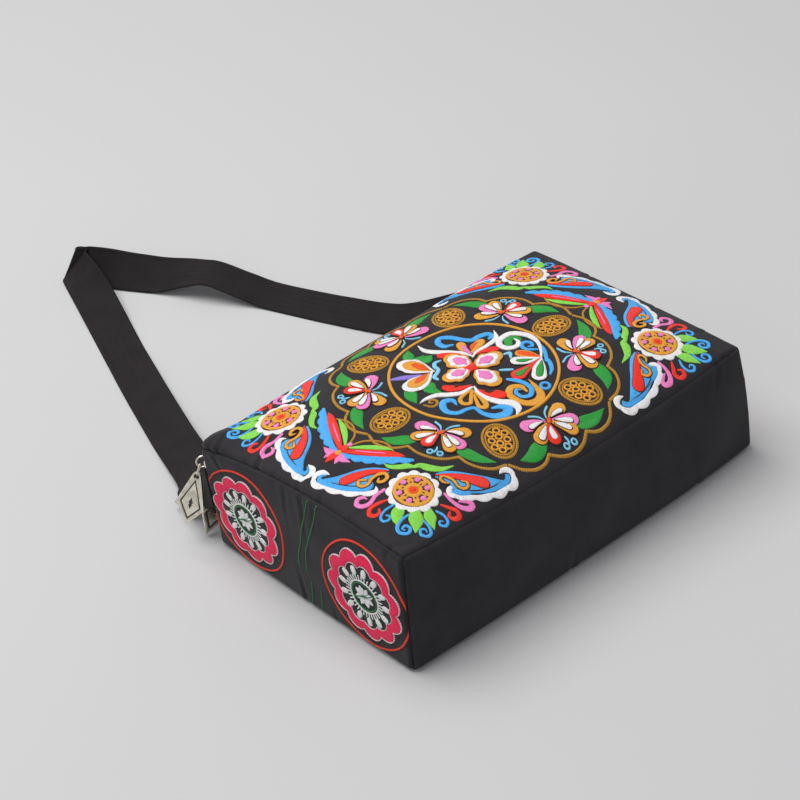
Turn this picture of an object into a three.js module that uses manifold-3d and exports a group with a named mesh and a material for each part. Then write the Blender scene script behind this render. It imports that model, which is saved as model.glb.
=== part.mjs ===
// A soft zip-top shoulder bag that lies on its back, with its strap spread out behind the zips.
// Millimetres. +X runs along the bag's width, +Y from its bottom panel towards its zips and +Z up from the
// floor. The origin is on the floor, under the middle of the back panel.

import * as THREE from "three";
import { mergeVertices } from "three/addons/utils/BufferGeometryUtils.js";
import Module from "manifold-3d";

const wasm = await Module();
wasm.setup();

// Bag, measured over its sewn edges
const bagWidth = 300;
const bagHeight = 194;
const bagDepth = 86;
const clothWall = 1.8;
const seamRadius = 5.5;
const seamGap = 0.45;

// How far the filled bag swells and leans away from a plain box
const frontCrown = 17;
const sideBulge = 3;
const bottomBulge = 5;
const zipBulge = 3;
const bottomSpread = 4;
const cornerSpread = 9;
const sideSpread = 4;
const zipCornerSpread = 5;
const leftCornerFoot = 0.75; // how much of bottomSpread is left at the foot of the left corner
const sideRimRise = 5;
const sideRimShift = 0.15; // how far the highest place is from the middle, as a share of half the height
const bottomRimSag = 8;
const zipCornerDrop = 4;

// Zips: three rows between four strips of cloth
const zipRows = 3;
const slotWidth = 9;
const tapeWidth = 17;
const tapeThickness = 0.7;
const layerGap = 0.35;
const coilWidth = 5;
const coilRise = 0.7;
const zipEndMargin = 7;

// Sliders at the left end of each row
const sliderLength = 11;
const sliderWidth = 7.5;
const sliderThickness = 2.2;
const sliderNose = 0.62; // the nose's width as a share of the slider's
const bailRadius = 2.7;
const bailWire = 0.65;
const bailOpening = 0.42; // where the ring's wire runs under the bail, as a share of bailRadius

// Each pull is a jump ring, a link and a kite-shaped plate
const ringRadius = 4.3;
const ringWire = 0.6;
const linkLength = 9.5;
const linkWidth = 5.6;
const linkWire = 0.5;
const linkTurn = 0.65; // how far the link turns from its ring's way of facing to its kite's
const kiteLength = 37;
const kiteWidth = 21;
const kiteThickness = 1.6;
const kiteShoulder = 0.6; // the widest place, as a share of the length from the top
const eyeRadius = 2.1;
const eyeRim = 1.1;
const kiteGroove = 0.45;
const kiteRim = 1.7;
const grooveWidth = 1.1;
const jewelLength = 5.2;
const jewelWidth = 2.8;
const wireClearance = 0.6;

// Strap, one long band sewn into the two ends of the zip side
const strapWidth = 31;
const strapThickness = 1.8;
const strapReach = 359;
const strapFoldRadius = 2.6;
const strapMiddle = 0.576; // the height of its middle line where it is sewn in, as a share of bagDepth
const strapSeatBack = 3.5; // from the zip side back to that seam
const seatSwing = 15; // the band's direction where it is sewn in, in degrees
const strapTurn = 69; // how far behind the zip side the strap has come down to the floor
const turnShare = 0.192; // the same place in the tables' back column
const foldLean = 60; // the band's slope and direction as it leaves the fold, in degrees
const foldSwing = -24;
const stepsPerRow = 4;
const arcSteps = 6;

// The strap's lower edge from the left end to the fold, then from the fold to the right end.
// out is a share of half the bag's width, back a share of strapReach behind the zip side, lift a share of
// strapSeat above the floor, lean the band's slope in degrees, swing its direction across in the plan.
const strapToFold = [
  { out: -1.005, back: 0.025, lift: 0.72, lean: 82, swing: -18 },
  { out: -1.007, back: 0.082, lift: 0.51, lean: 52, swing: -30 },
  { out: -0.965, back: 0.138, lift: 0.33, lean: 30, swing: -27 },
  { out: -0.905, back: 0.192, lift: 0.13, lean: 15, swing: -22 },
  { out: -0.785, back: 0.348, lift: 0, lean: 2, swing: -21 },
  { out: -0.61, back: 0.53, lift: 0, lean: 0, swing: -21 },
  { out: -0.421, back: 0.699, lift: 0, lean: 1, swing: -21 },
  { out: -0.27, back: 0.86, lift: 0, lean: 14, swing: -22 },
  { out: -0.185, back: 0.95, lift: 0, lean: 38, swing: -27 },
];
const strapFold = { out: -0.135, back: 1, lift: 0, lean: 53, swing: -30 };
const strapFromFold = [
  { out: -0.08, back: 0.93, lift: 0, lean: 62, swing: -4 },
  { out: -0.02, back: 0.865, lift: 0, lean: 60, swing: 16 },
  { out: 0.085, back: 0.785, lift: 0.06, lean: 38, swing: 24 },
  { out: 0.165, back: 0.72, lift: 0.29, lean: 14, swing: 25 },
  { out: 0.213, back: 0.675, lift: 0.4, lean: 4, swing: 25 },
  { out: 0.285, back: 0.612, lift: 0.22, lean: 3, swing: 24 },
  { out: 0.355, back: 0.55, lift: 0.02, lean: 5, swing: 23 },
  { out: 0.47, back: 0.41, lift: 0, lean: 8, swing: 21 },
  { out: 0.59, back: 0.283, lift: 0, lean: 16, swing: 24 },
  { out: 0.75, back: 0.175, lift: 0.14, lean: 38, swing: 33 },
  { out: 0.92, back: 0.085, lift: 0.46, lean: 66, swing: 34 },
  { out: 1.01, back: 0.028, lift: 0.87, lean: 86, swing: 20 },
];

// Colours and finishes
const blackCloth = { color: 0x1d1b1f, roughness: 0.85, metalness: 0 };
const blackTape = { color: 0x141316, roughness: 0.9, metalness: 0 };
const blackNylon = { color: 0x1a1a1c, roughness: 0.45, metalness: 0 };
const paleGold = { color: 0xcfc3a1, roughness: 0.3, metalness: 1 };

const halfWidth = bagWidth / 2;
const halfHeight = bagHeight / 2;
const strapSeat = bagDepth * strapMiddle - strapWidth / 2; // the strap's lower edge where it is sewn in

const bag = new THREE.Group();

function addMesh(parent, name, geometry, look) {
  const mesh = new THREE.Mesh(geometry, new THREE.MeshStandardMaterial(look));
  mesh.name = name;
  parent.add(mesh);
  return mesh;
}

// 0 at both ends of -1 to 1, and near 1 between them: the higher the power, the flatter the middle
const swell = (share, power) => 1 - Math.min(1, Math.abs(share)) ** power;

// Carries a point of the plain box to the filled, sagging bag. The floor plane z = 0 stays flat.
function bagShape(p) {
  const u = p.x / halfWidth;
  const v = p.y / halfHeight;
  const w = Math.min(1, Math.max(0, p.z / bagDepth));
  const left = ((1 - u) / 2) ** 4;
  const right = ((1 + u) / 2) ** 4;
  const bottom = ((1 - v) / 2) ** 4;
  const zips = ((1 + v) / 2) ** 4;
  const upper = w * w;
  const belly = 4 * w * (1 - w);
  const low = 1 - upper;
  const rise = sideRimRise * left * swell(v + sideRimShift, 2);
  const sag = bottomRimSag * bottom * swell(u, 2) + zipCornerDrop * left * zips;
  const crown = frontCrown * swell(u, 4) * swell(v, 4);
  const outLeft = sideSpread * low * ((1 - v) / 2) + zipCornerSpread * zips * upper;
  const outRight = cornerSpread * bottom * low;
  const outX = sideBulge * belly * swell(v, 2) * (right - left) + outRight * right - outLeft * left;
  const foot = u < 0 ? 1 - (1 - leftCornerFoot) * u ** 4 : swell(u, 4);
  const bulge = (zipBulge * zips - bottomBulge * bottom) * belly * swell(u, 4);
  const outY = bulge - bottomSpread * low * bottom * foot;
  return new THREE.Vector3(p.x + outX, p.y + outY, p.z + (crown + rise - sag) * upper);
}

// Carries a point of the sharp box onto the box with rounded seams, sunk below its surface by depth
function skin(p, depth) {
  const core = new THREE.Vector3(
    THREE.MathUtils.clamp(p.x, -halfWidth + seamRadius, halfWidth - seamRadius),
    THREE.MathUtils.clamp(p.y, -halfHeight + seamRadius, halfHeight - seamRadius),
    THREE.MathUtils.clamp(p.z, seamRadius, bagDepth - seamRadius),
  );
  const out = p.clone().sub(core).normalize();
  return core.addScaledVector(out, seamRadius - depth);
}

// Grid lines from low to high, closer together where a seam bends the cloth
const bends = [0, 0.4, 0.75, 1];

function gridLines(low, high, count, bendLow = true, bendHigh = true) {
  const from = bendLow ? low + seamRadius - seamGap : low;
  const to = bendHigh ? high - seamRadius + seamGap : high;
  const lines = [];
  if (bendLow) for (const share of bends.slice(0, -1)) lines.push(low + share * (from - low));
  for (let i = 0; i <= count; i++) lines.push(from + (i / count) * (to - from));
  if (bendHigh) for (const share of bends.slice(1)) lines.push(to + share * (high - to));
  return lines;
}

// A closed patch of the bag's wall. place(a, b) is on the sharp box, and a cross b points outwards.
function wallPatch(alongs, acrosses, place, outerDepth, innerDepth) {
  const rows = alongs.length;
  const columns = acrosses.length;
  const points = [];
  for (const depth of [outerDepth, innerDepth])
    for (const a of alongs)
      for (const b of acrosses) points.push(bagShape(skin(place(a, b), depth)));
  const at = (layer, i, j) => layer * rows * columns + i * columns + j;
  const faces = [];
  const quad = (a, b, c, d) => faces.push(a, b, c, a, c, d);
  for (let i = 0; i < rows - 1; i++)
    for (let j = 0; j < columns - 1; j++) {
      quad(at(0, i, j), at(0, i + 1, j), at(0, i + 1, j + 1), at(0, i, j + 1));
      quad(at(1, i, j), at(1, i, j + 1), at(1, i + 1, j + 1), at(1, i + 1, j));
    }
  const lastRow = rows - 1;
  const lastColumn = columns - 1;
  for (let i = 0; i < lastRow; i++) {
    quad(at(0, i, 0), at(1, i, 0), at(1, i + 1, 0), at(0, i + 1, 0));
    quad(at(0, i + 1, lastColumn), at(1, i + 1, lastColumn), at(1, i, lastColumn), at(0, i, lastColumn));
  }
  for (let j = 0; j < lastColumn; j++) {
    quad(at(0, 0, j + 1), at(1, 0, j + 1), at(1, 0, j), at(0, 0, j));
    quad(at(0, lastRow, j), at(1, lastRow, j), at(1, lastRow, j + 1), at(0, lastRow, j + 1));
  }
  const geometry = new THREE.BufferGeometry().setFromPoints(points);
  geometry.setIndex(faces);
  return geometry;
}

// Panels of cloth
const xLines = gridLines(-halfWidth + seamGap, halfWidth - seamGap, 14);
const yLines = gridLines(-halfHeight + seamGap, halfHeight - seamGap, 10);
const zLines = gridLines(seamGap, bagDepth - seamGap, 4);

const panels = [
  ["front_panel", xLines, yLines, (a, b) => new THREE.Vector3(a, b, bagDepth)],
  ["back_panel", yLines, xLines, (a, b) => new THREE.Vector3(b, a, 0)],
  ["bottom_panel", xLines, zLines, (a, b) => new THREE.Vector3(a, -halfHeight, b)],
  ["side_panel_left", zLines, yLines, (a, b) => new THREE.Vector3(-halfWidth, b, a)],
  ["side_panel_right", yLines, zLines, (a, b) => new THREE.Vector3(halfWidth, a, b)],
];
for (const [name, alongs, acrosses, place] of panels)
  addMesh(bag, name, wallPatch(alongs, acrosses, place, 0, clothWall), blackCloth);

// The zip side: strips of cloth with a slot between each two, a tape behind each slot and a coil in it
const zipPlace = (a, b) => new THREE.Vector3(b, halfHeight, a);
const rowPitch = bagDepth / (zipRows + 1);
const rowHeight = (row) => rowPitch * (row + 1);

for (let strip = 0; strip <= zipRows; strip++) {
  const isLowest = strip === 0;
  const isHighest = strip === zipRows;
  const low = isLowest ? seamGap : rowHeight(strip - 1) + slotWidth / 2;
  const high = isHighest ? bagDepth - seamGap : rowHeight(strip) - slotWidth / 2;
  const lines = gridLines(low, high, 2, isLowest, isHighest);
  addMesh(bag, `zip_strip_${strip + 1}`, wallPatch(lines, xLines, zipPlace, 0, clothWall), blackCloth);
}

const tapeDepth = clothWall + layerGap;
for (let row = 0; row < zipRows; row++) {
  const middle = rowHeight(row);
  const tapeLines = [middle - tapeWidth / 2, middle, middle + tapeWidth / 2];
  const tape = wallPatch(tapeLines, xLines, zipPlace, tapeDepth, tapeDepth + tapeThickness);
  addMesh(bag, `zip_tape_${row + 1}`, tape, blackTape);
  const coilEnd = halfWidth - zipEndMargin;
  const coilLines = [middle - coilWidth / 2, middle + coilWidth / 2];
  const coilSteps = gridLines(-coilEnd, coilEnd, 14, false, false);
  const coil = wallPatch(coilLines, coilSteps, zipPlace, -coilRise, clothWall);
  addMesh(bag, `zip_coil_${row + 1}`, coil, blackNylon);
}

// Solids for the booleans
function solidOf(geometry, matrix = new THREE.Matrix4()) {
  const bare = new THREE.BufferGeometry();
  bare.setAttribute("position", geometry.getAttribute("position").clone());
  if (geometry.index) bare.setIndex(geometry.index);
  bare.applyMatrix4(matrix);
  const merged = mergeVertices(bare, 1e-4);
  const vertProperties = new Float32Array(merged.attributes.position.array);
  const triVerts = new Uint32Array(merged.index.array);
  return new wasm.Manifold(new wasm.Mesh({ numProp: 3, vertProperties, triVerts }));
}

function geometryOf(solid) {
  const mesh = solid.getMesh();
  const geometry = new THREE.BufferGeometry();
  const stride = mesh.numProp;
  const positions = new Float32Array(mesh.numVert * 3);
  for (let i = 0; i < mesh.numVert; i++)
    positions.set(mesh.vertProperties.subarray(i * stride, i * stride + 3), i * 3);
  geometry.setAttribute("position", new THREE.BufferAttribute(positions, 3));
  geometry.setIndex(new THREE.BufferAttribute(mesh.triVerts, 1));
  return geometry;
}

const moved = (x, y, z) => new THREE.Matrix4().makeTranslation(x, y, z);

// A slider lies in the XY plane with its plate's underside at z = 0 and its bail standing on the plate
function sliderGeometry() {
  const half = sliderLength / 2;
  const wide = sliderWidth / 2;
  const narrow = wide * sliderNose;
  const plan = new THREE.Shape();
  plan.moveTo(-half, -narrow);
  plan.lineTo(0, -wide);
  plan.lineTo(half, -wide);
  plan.lineTo(half, wide);
  plan.lineTo(0, wide);
  plan.lineTo(-half, narrow);
  const plate = new THREE.ExtrudeGeometry(plan, { depth: sliderThickness, bevelEnabled: false });
  const bail = new THREE.TorusGeometry(bailRadius, bailWire, 6, 18);
  const upright = new THREE.Matrix4().makeRotationX(Math.PI / 2);
  const seated = moved(0, 0, sliderThickness).multiply(upright);
  // The half ring that would come out of the plate's underside is cut away
  const cutSize = 4 * bailRadius;
  const under = new THREE.BoxGeometry(cutSize, cutSize, cutSize);
  const cut = solidOf(under, moved(0, 0, sliderThickness - bailWire / 2 - cutSize / 2));
  return geometryOf(solidOf(plate).add(solidOf(bail, seated).subtract(cut)));
}

// A kite hangs along -Y from its eye, which is at the origin, and lies in the XY plane
const kiteHalf = kiteWidth / 2;
const shoulderY = -kiteLength * kiteShoulder;
const topAngle = Math.atan2(kiteHalf, -shoulderY);
const tipAngle = Math.atan2(kiteHalf, kiteLength + shoulderY);
const shoulderAngle = (Math.PI - topAngle - tipAngle) / 2;
const eyeOuter = eyeRadius + eyeRim;

// The four corners of a kite inside the plate, inset from its shoulders and tip, with its top below the eye
function innerKite(inset) {
  const side = kiteHalf - inset / Math.sin(shoulderAngle);
  const tip = -kiteLength + inset / Math.sin(tipAngle);
  const top = shoulderY + side / Math.tan(topAngle) - eyeOuter;
  return [[0, top], [-side, shoulderY], [0, tip], [side, shoulderY]].map(([x, y]) => new THREE.Vector2(x, y));
}

function kiteOutline() {
  const toShoulder = Math.atan2(shoulderY, kiteHalf);
  const tangent = toShoulder + Math.acos(eyeOuter / Math.hypot(kiteHalf, shoulderY));
  const outline = new THREE.Shape();
  outline.moveTo(0, -kiteLength);
  outline.lineTo(kiteHalf, shoulderY);
  outline.absarc(0, 0, eyeOuter, tangent, Math.PI - tangent, false);
  outline.lineTo(-kiteHalf, shoulderY);
  return outline;
}

function kiteGeometry() {
  const outline = kiteOutline();
  const eye = new THREE.Path();
  eye.absarc(0, 0, eyeRadius, 0, 2 * Math.PI, true);
  const jewel = new THREE.Path();
  jewel.moveTo(0, shoulderY + jewelLength / 2);
  jewel.lineTo(jewelWidth / 2, shoulderY);
  jewel.lineTo(0, shoulderY - jewelLength / 2);
  jewel.lineTo(-jewelWidth / 2, shoulderY);
  outline.holes.push(eye, jewel);
  const flat = { bevelEnabled: false, curveSegments: 8 };
  const plate = new THREE.ExtrudeGeometry(outline, { ...flat, depth: kiteThickness });
  let solid = solidOf(plate, moved(0, 0, -kiteThickness / 2));
  // A groove follows the rim on both faces
  const band = new THREE.Shape(innerKite(kiteRim));
  band.holes.push(new THREE.Path(innerKite(kiteRim + grooveWidth)));
  const groove = new THREE.ExtrudeGeometry(band, { ...flat, depth: 2 * kiteGroove });
  for (const face of [-1, 1])
    solid = solid.subtract(solidOf(groove, moved(0, 0, (face * kiteThickness) / 2 - kiteGroove)));
  return geometryOf(solid);
}

// Turns local X, Y and Z onto three directions and moves the origin to a point
function placed(x, y, z, origin) {
  return new THREE.Matrix4().makeBasis(x, y, z).setPosition(origin);
}

const backwards = new THREE.Vector3(0, 1, 0);
const widthways = new THREE.Vector3(1, 0, 0);
const downwards = new THREE.Vector3(0, 0, -1);

// For each pull, from the floor up: how far its slider stands from the bag's left end, then directions.
// ring goes from the bail to the ring's middle, hook from there to the link, hang down the link and kite, and
// face looks out of the kite's front.
const pulls = [
  {
    inset: 22,
    ring: [0, 0.95, -0.3],
    hook: [0, 0.85, -0.53],
    hang: [-0.39, 0.88, -0.27],
    face: [-0.62, 0, 0.78],
  },
  {
    inset: 31,
    ring: [-0.9, 0.44, 0],
    hook: [-0.9, 0.44, -1.3],
    hang: [-0.56, 0.08, -0.82],
    face: [0, -1, 0.1],
  },
  {
    inset: 8.5,
    ring: [-0.85, 0.52, 0],
    hook: [-0.85, 0.52, -1.2],
    hang: [-0.31, 0.13, -0.94],
    face: [-0.93, -0.36, 0.1],
  },
];

const unit = (list) => new THREE.Vector3(...list).normalize();

// The part of a direction that is square to a second one
function squareTo(direction, second) {
  return direction.clone().addScaledVector(second, -direction.dot(second)).normalize();
}

function addPull(row, { inset, ring, hook, hang, face }) {
  const onCoil = new THREE.Vector3(-halfWidth + inset, halfHeight, rowHeight(row));
  const coilTop = bagShape(skin(onCoil, -coilRise));
  const seat = coilTop.clone().addScaledVector(backwards, 2 * layerGap);
  const slider = addMesh(bag, `zip_slider_${row + 1}`, sliderGeometry(), paleGold);
  slider.applyMatrix4(placed(widthways, downwards, backwards, seat));

  // The ring stands in an upright plane and passes under the bail
  const ringOut = unit(ring);
  const ringNormal = ringOut.clone().cross(downwards).normalize();
  const bail = seat.clone().addScaledVector(backwards, sliderThickness + bailRadius * bailOpening);
  const ringCentre = bail.clone().addScaledVector(ringOut, ringRadius);
  const ringMatrix = placed(ringOut, ringNormal.clone().cross(ringOut), ringNormal, ringCentre);
  addMesh(bag, `pull_ring_${row + 1}`, new THREE.TorusGeometry(ringRadius, ringWire, 6, 16), paleGold)
    .applyMatrix4(ringMatrix);

  // The link hooks round the ring, square to its wire there, and the kite's eye round the link
  const down = unit(hang);
  const kiteUp = down.clone().negate();
  const hookPoint = ringCentre.clone().addScaledVector(squareTo(unit(hook), ringNormal), ringRadius);
  const linkHalf = linkLength / 2 - linkWire;
  const linkCentre = hookPoint.clone().addScaledVector(down, linkHalf - linkWire - ringWire - wireClearance);
  const kiteFace = squareTo(unit(face), down);
  const ringFace = squareTo(ringNormal, down);
  ringFace.multiplyScalar(Math.sign(ringFace.dot(kiteFace)));
  const linkSide = ringFace.lerp(kiteFace, linkTurn).normalize();
  const link = new THREE.TorusGeometry(linkHalf, linkWire, 6, 16);
  link.scale((linkWidth / 2 - linkWire) / linkHalf, 1, 1);
  addMesh(bag, `pull_link_${row + 1}`, link, paleGold)
    .applyMatrix4(placed(linkSide, kiteUp, linkSide.clone().cross(kiteUp), linkCentre));

  const eye = linkCentre.clone().addScaledVector(down, linkHalf + eyeRadius - linkWire - wireClearance);
  addMesh(bag, `pull_kite_${row + 1}`, kiteGeometry(), paleGold)
    .applyMatrix4(placed(kiteUp.clone().cross(kiteFace), kiteUp, kiteFace, eye));
}

pulls.forEach((pull, row) => addPull(row, pull));

// A smooth curve through values given one by one, as a list of plain numbers
function smoothRows(rows) {
  const smooth = [];
  const last = rows.length - 1;
  for (let i = 0; i < last; i++)
    for (let step = 0; step < stepsPerRow; step++) {
      const t = step / stepsPerRow;
      const row = {};
      for (const key of Object.keys(rows[0])) {
        const before = rows[Math.max(0, i - 1)][key];
        const from = rows[i][key];
        const to = rows[i + 1][key];
        const after = rows[Math.min(last, i + 2)][key];
        const slopeFrom = (to - before) / 2;
        const slopeTo = (after - from) / 2;
        row[key] =
          (2 * t ** 3 - 3 * t ** 2 + 1) * from +
          (t ** 3 - 2 * t ** 2 + t) * slopeFrom +
          (3 * t ** 2 - 2 * t ** 3) * to +
          (t ** 3 - t ** 2) * slopeTo;
      }
      smooth.push(row);
    }
  smooth.push({ ...rows[last] });
  return smooth;
}

// Where the strap is sewn in: just outside the seam between a side panel and the zip strips
function strapSeatRow(side) {
  const onSeam = (height) => {
    const seam = new THREE.Vector3(side * halfWidth, halfHeight - strapSeatBack, height);
    return bagShape(skin(seam, -layerGap - strapThickness / 2));
  };
  const low = onSeam(strapSeat);
  const high = onSeam(strapSeat + strapWidth);
  const lean = 90 + THREE.MathUtils.radToDeg(Math.atan2(low.x - high.x, strapWidth));
  return { x: low.x, y: low.y, z: strapSeat, lean, swing: side * seatSwing };
}

// How far behind the zip side a row is. Up to the turn the strap keeps its distance from the pulls.
function behindZips(back) {
  const near = Math.min(back, turnShare) / turnShare;
  const far = Math.max(0, back - turnShare) / (1 - turnShare);
  return strapTurn * near + (strapReach - strapTurn) * far;
}

const strapRow = ({ out, back, lift, lean, swing }) => ({
  x: out * halfWidth,
  y: halfHeight + behindZips(back),
  z: lift * strapSeat + (strapThickness / 2) * Math.cos(THREE.MathUtils.degToRad(lean)),
  lean,
  swing,
});

function strapStations() {
  const fold = strapRow(strapFold);
  const inbound = smoothRows([strapSeatRow(-1), ...strapToFold.map(strapRow), fold]);
  const outbound = smoothRows([fold, ...strapFromFold.map(strapRow), strapSeatRow(1)]);
  const arrive = inbound.pop();
  outbound.shift();
  // A small arc joins the two legs at the fold
  const before = inbound[inbound.length - 1];
  const after = outbound[0];
  const flat = (row) => new THREE.Vector2(row.x, row.y);
  const tip = flat(arrive);
  const toBefore = flat(before).sub(tip).normalize();
  const toAfter = flat(after).sub(tip).normalize();
  const halfAngle = Math.acos(THREE.MathUtils.clamp(toBefore.dot(toAfter), -1, 1)) / 2;
  const bisector = toBefore.clone().add(toAfter).normalize();
  const centre = tip.clone().addScaledVector(bisector, strapFoldRadius / Math.sin(halfAngle));
  const sweep = Math.PI - 2 * halfAngle;
  const outward = Math.atan2(-bisector.y, -bisector.x);
  const turn = Math.sign(toAfter.x * toBefore.y - toAfter.y * toBefore.x) || 1;
  const arc = [];
  for (let i = 0; i <= arcSteps; i++) {
    const share = i / arcSteps;
    const angle = outward + turn * sweep * (0.5 - share);
    arc.push({
      x: centre.x + strapFoldRadius * Math.cos(angle),
      y: centre.y + strapFoldRadius * Math.sin(angle),
      z: arrive.z,
      lean: THREE.MathUtils.lerp(arrive.lean, foldLean, share),
      swing: THREE.MathUtils.lerp(arrive.swing, foldSwing, share),
    });
  }
  return [...inbound, ...arc, ...outbound];
}

function strapGeometry() {
  const stations = strapStations();
  const restHeight = (row) => (strapThickness / 2) * Math.cos(THREE.MathUtils.degToRad(row.lean));
  const feet = stations.map((row) => new THREE.Vector3(row.x, row.y, Math.max(row.z, restHeight(row))));
  const points = [];
  stations.forEach((row, i) => {
    const lean = THREE.MathUtils.degToRad(row.lean);
    const swing = THREE.MathUtils.degToRad(row.swing);
    const level = Math.cos(lean);
    const across = new THREE.Vector3(Math.cos(swing) * level, Math.sin(swing) * level, Math.sin(lean));
    const tangent = feet[Math.min(i + 1, feet.length - 1)].clone().sub(feet[Math.max(i - 1, 0)]);
    const normal = tangent.cross(across).normalize();
    for (const [share, side] of [[0, 1], [0.5, 1], [1, 1], [1, -1], [0.5, -1], [0, -1]]) {
      const point = feet[i].clone().addScaledVector(across, share * strapWidth);
      point.addScaledVector(normal, (side * strapThickness) / 2);
      point.z = Math.max(point.z, 0);
      points.push(point);
    }
  });
  const ring = 6;
  const faces = [];
  for (let i = 0; i < stations.length - 1; i++)
    for (let k = 0; k < ring; k++) {
      const a = i * ring + k;
      const b = i * ring + ((k + 1) % ring);
      faces.push(a, b + ring, b, a, a + ring, b + ring);
    }
  // The two ends, each closed by four triangles
  const end = (stations.length - 1) * ring;
  const cap = [0, 4, 5, 0, 1, 4, 1, 3, 4, 1, 2, 3];
  faces.push(...cap, ...cap.toReversed().map((corner) => end + corner));
  const geometry = new THREE.BufferGeometry().setFromPoints(points);
  geometry.setIndex(faces);
  return geometry;
}

addMesh(bag, "strap", strapGeometry(), blackCloth);

export default bag;
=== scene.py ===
"""The looks of a soft, embroidered, zip-top shoulder bag that lies on its back, with its strap behind it.

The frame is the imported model: metres, +X along the bag's width, +Y towards its zips, +Z up. Shapes here are
worked out in millimetres, with the same formulas as the solids, and turned into metres as they are made.
"""

import math

import bmesh
import bpy
import numpy as np
from mathutils import Matrix, Vector


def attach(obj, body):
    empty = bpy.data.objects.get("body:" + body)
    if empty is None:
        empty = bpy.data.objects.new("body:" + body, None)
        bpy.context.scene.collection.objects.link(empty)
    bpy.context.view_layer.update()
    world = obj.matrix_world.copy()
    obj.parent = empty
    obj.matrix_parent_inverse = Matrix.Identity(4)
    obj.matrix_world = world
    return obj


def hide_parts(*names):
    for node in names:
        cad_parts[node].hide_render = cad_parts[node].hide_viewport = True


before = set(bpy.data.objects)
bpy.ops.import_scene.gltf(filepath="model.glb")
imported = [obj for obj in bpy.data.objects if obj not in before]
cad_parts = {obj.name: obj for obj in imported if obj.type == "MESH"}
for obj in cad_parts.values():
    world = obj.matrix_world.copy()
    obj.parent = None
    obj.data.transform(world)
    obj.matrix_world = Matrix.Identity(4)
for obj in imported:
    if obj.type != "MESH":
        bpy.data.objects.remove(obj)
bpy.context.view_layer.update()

MM = 0.001
ROOT = "root"

# Bag, as in the solids
BAG_WIDTH = 300
BAG_HEIGHT = 194
BAG_DEPTH = 86
HALF_WIDTH = BAG_WIDTH / 2
HALF_HEIGHT = BAG_HEIGHT / 2
CLOTH_WALL = 1.6
SEAM_RADIUS = 5.5
SEAM_GAP = 0.12
FRONT_CROWN = 17
SIDE_BULGE = 3
BOTTOM_BULGE = 5
ZIP_BULGE = 3
BOTTOM_SPREAD = 4
CORNER_SPREAD = 9
SIDE_SPREAD = 4
ZIP_CORNER_SPREAD = 5
LEFT_CORNER_FOOT = 0.75
SIDE_RIM_RISE = 5
SIDE_RIM_SHIFT = 0.15
BOTTOM_RIM_SAG = 8
ZIP_CORNER_DROP = 4

# Zips, as in the solids
ZIP_ROWS = 3
SLOT_WIDTH = 9
COIL_RISE = 0.7
ZIP_END_MARGIN = 7

# Strap, as in the solids
STRAP_WIDTH = 31
STRAP_THICKNESS = 1.8
STRAP_REACH = 359
STRAP_FOLD_RADIUS = 2.6
STRAP_SEAT = 0.576 * BAG_DEPTH - STRAP_WIDTH / 2
SEAT_SWING = 15
STRAP_TURN = 69
TURN_SHARE = 0.192
FOLD_LEAN = 60
FOLD_SWING = -24
STRAP_SEAT_BACK = 3.5
LAYER_GAP = 0.35
STRAP_TO_FOLD = [  # out, back, lift, lean, swing
    (-1.005, 0.025, 0.72, 82, -18),
    (-1.007, 0.082, 0.51, 52, -30),
    (-0.965, 0.138, 0.33, 30, -27),
    (-0.878, 0.192, 0.13, 26, -22),
    (-0.742, 0.348, 0, 14, -21),
    (-0.58, 0.53, 0, 7, -21),
    (-0.421, 0.699, 0, 1, -21),
    (-0.27, 0.86, 0, 14, -22),
    (-0.185, 0.95, 0, 38, -27),
    (-0.135, 1, 0, 53, -30),
]
STRAP_FROM_FOLD = [
    (-0.135, 1, 0, 53, -30),
    (-0.08, 0.93, 0, 52, -4),
    (-0.02, 0.865, 0, 42, 16),
    (0.085, 0.785, 0.02, 31, 24),
    (0.165, 0.72, 0.27, 12, 25),
    (0.213, 0.675, 0.4, 4, 25),
    (0.285, 0.612, 0.22, 3, 24),
    (0.355, 0.55, 0.02, 5, 23),
    (0.47, 0.41, 0, 8, 21),
    (0.59, 0.283, 0, 16, 24),
    (0.75, 0.175, 0.14, 38, 33),
    (0.92, 0.085, 0.46, 66, 34),
    (1.01, 0.028, 0.87, 86, 20),
]


# Sums that several shapes share

def stack(x, y, z):
    return np.stack(np.broadcast_arrays(x, y, z), axis=-1).astype(float)


def hump(distance, width):
    """1 where distance is 0, falling smoothly to nothing over about two widths."""
    return np.exp(-((distance / width) ** 2))


def swell(share, power):
    return 1 - np.minimum(1, np.abs(share)) ** power


def ripple(a, b, seed, waves, longest, shortest):
    """Soft unevenness of a filled cloth: a sum of seeded waves, about -1 to 1."""
    random = np.random.default_rng(seed)
    total = np.zeros(np.broadcast(a, b).shape)
    for _ in range(waves):
        length = random.uniform(shortest, longest)
        turn, start = random.uniform(0, 2 * math.pi, 2)
        total += np.sin((a * math.cos(turn) + b * math.sin(turn)) * 2 * math.pi / length + start)
    return total / math.sqrt(waves)


def travel(points):
    """How far along a line of points each one lies."""
    return np.concatenate([[0], np.cumsum(np.linalg.norm(np.diff(points, axis=0), axis=1))])


def curve(t, start, leave, end, arrive, gap=1):
    """Points at the shares t of a smooth curve from start to end, with its slopes there."""
    return (
        (2 * t**3 - 3 * t**2 + 1) * start
        + (t**3 - 2 * t**2 + t) * leave * gap
        + (3 * t**2 - 2 * t**3) * end
        + (t**3 - t**2) * arrive * gap
    )


def heading(angle):
    """The direction that is angle degrees from x towards y."""
    return math.cos(math.radians(angle)), math.sin(math.radians(angle))


def turned(angle):
    c, s = heading(angle)
    return np.array([[c, -s], [s, c]])


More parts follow.
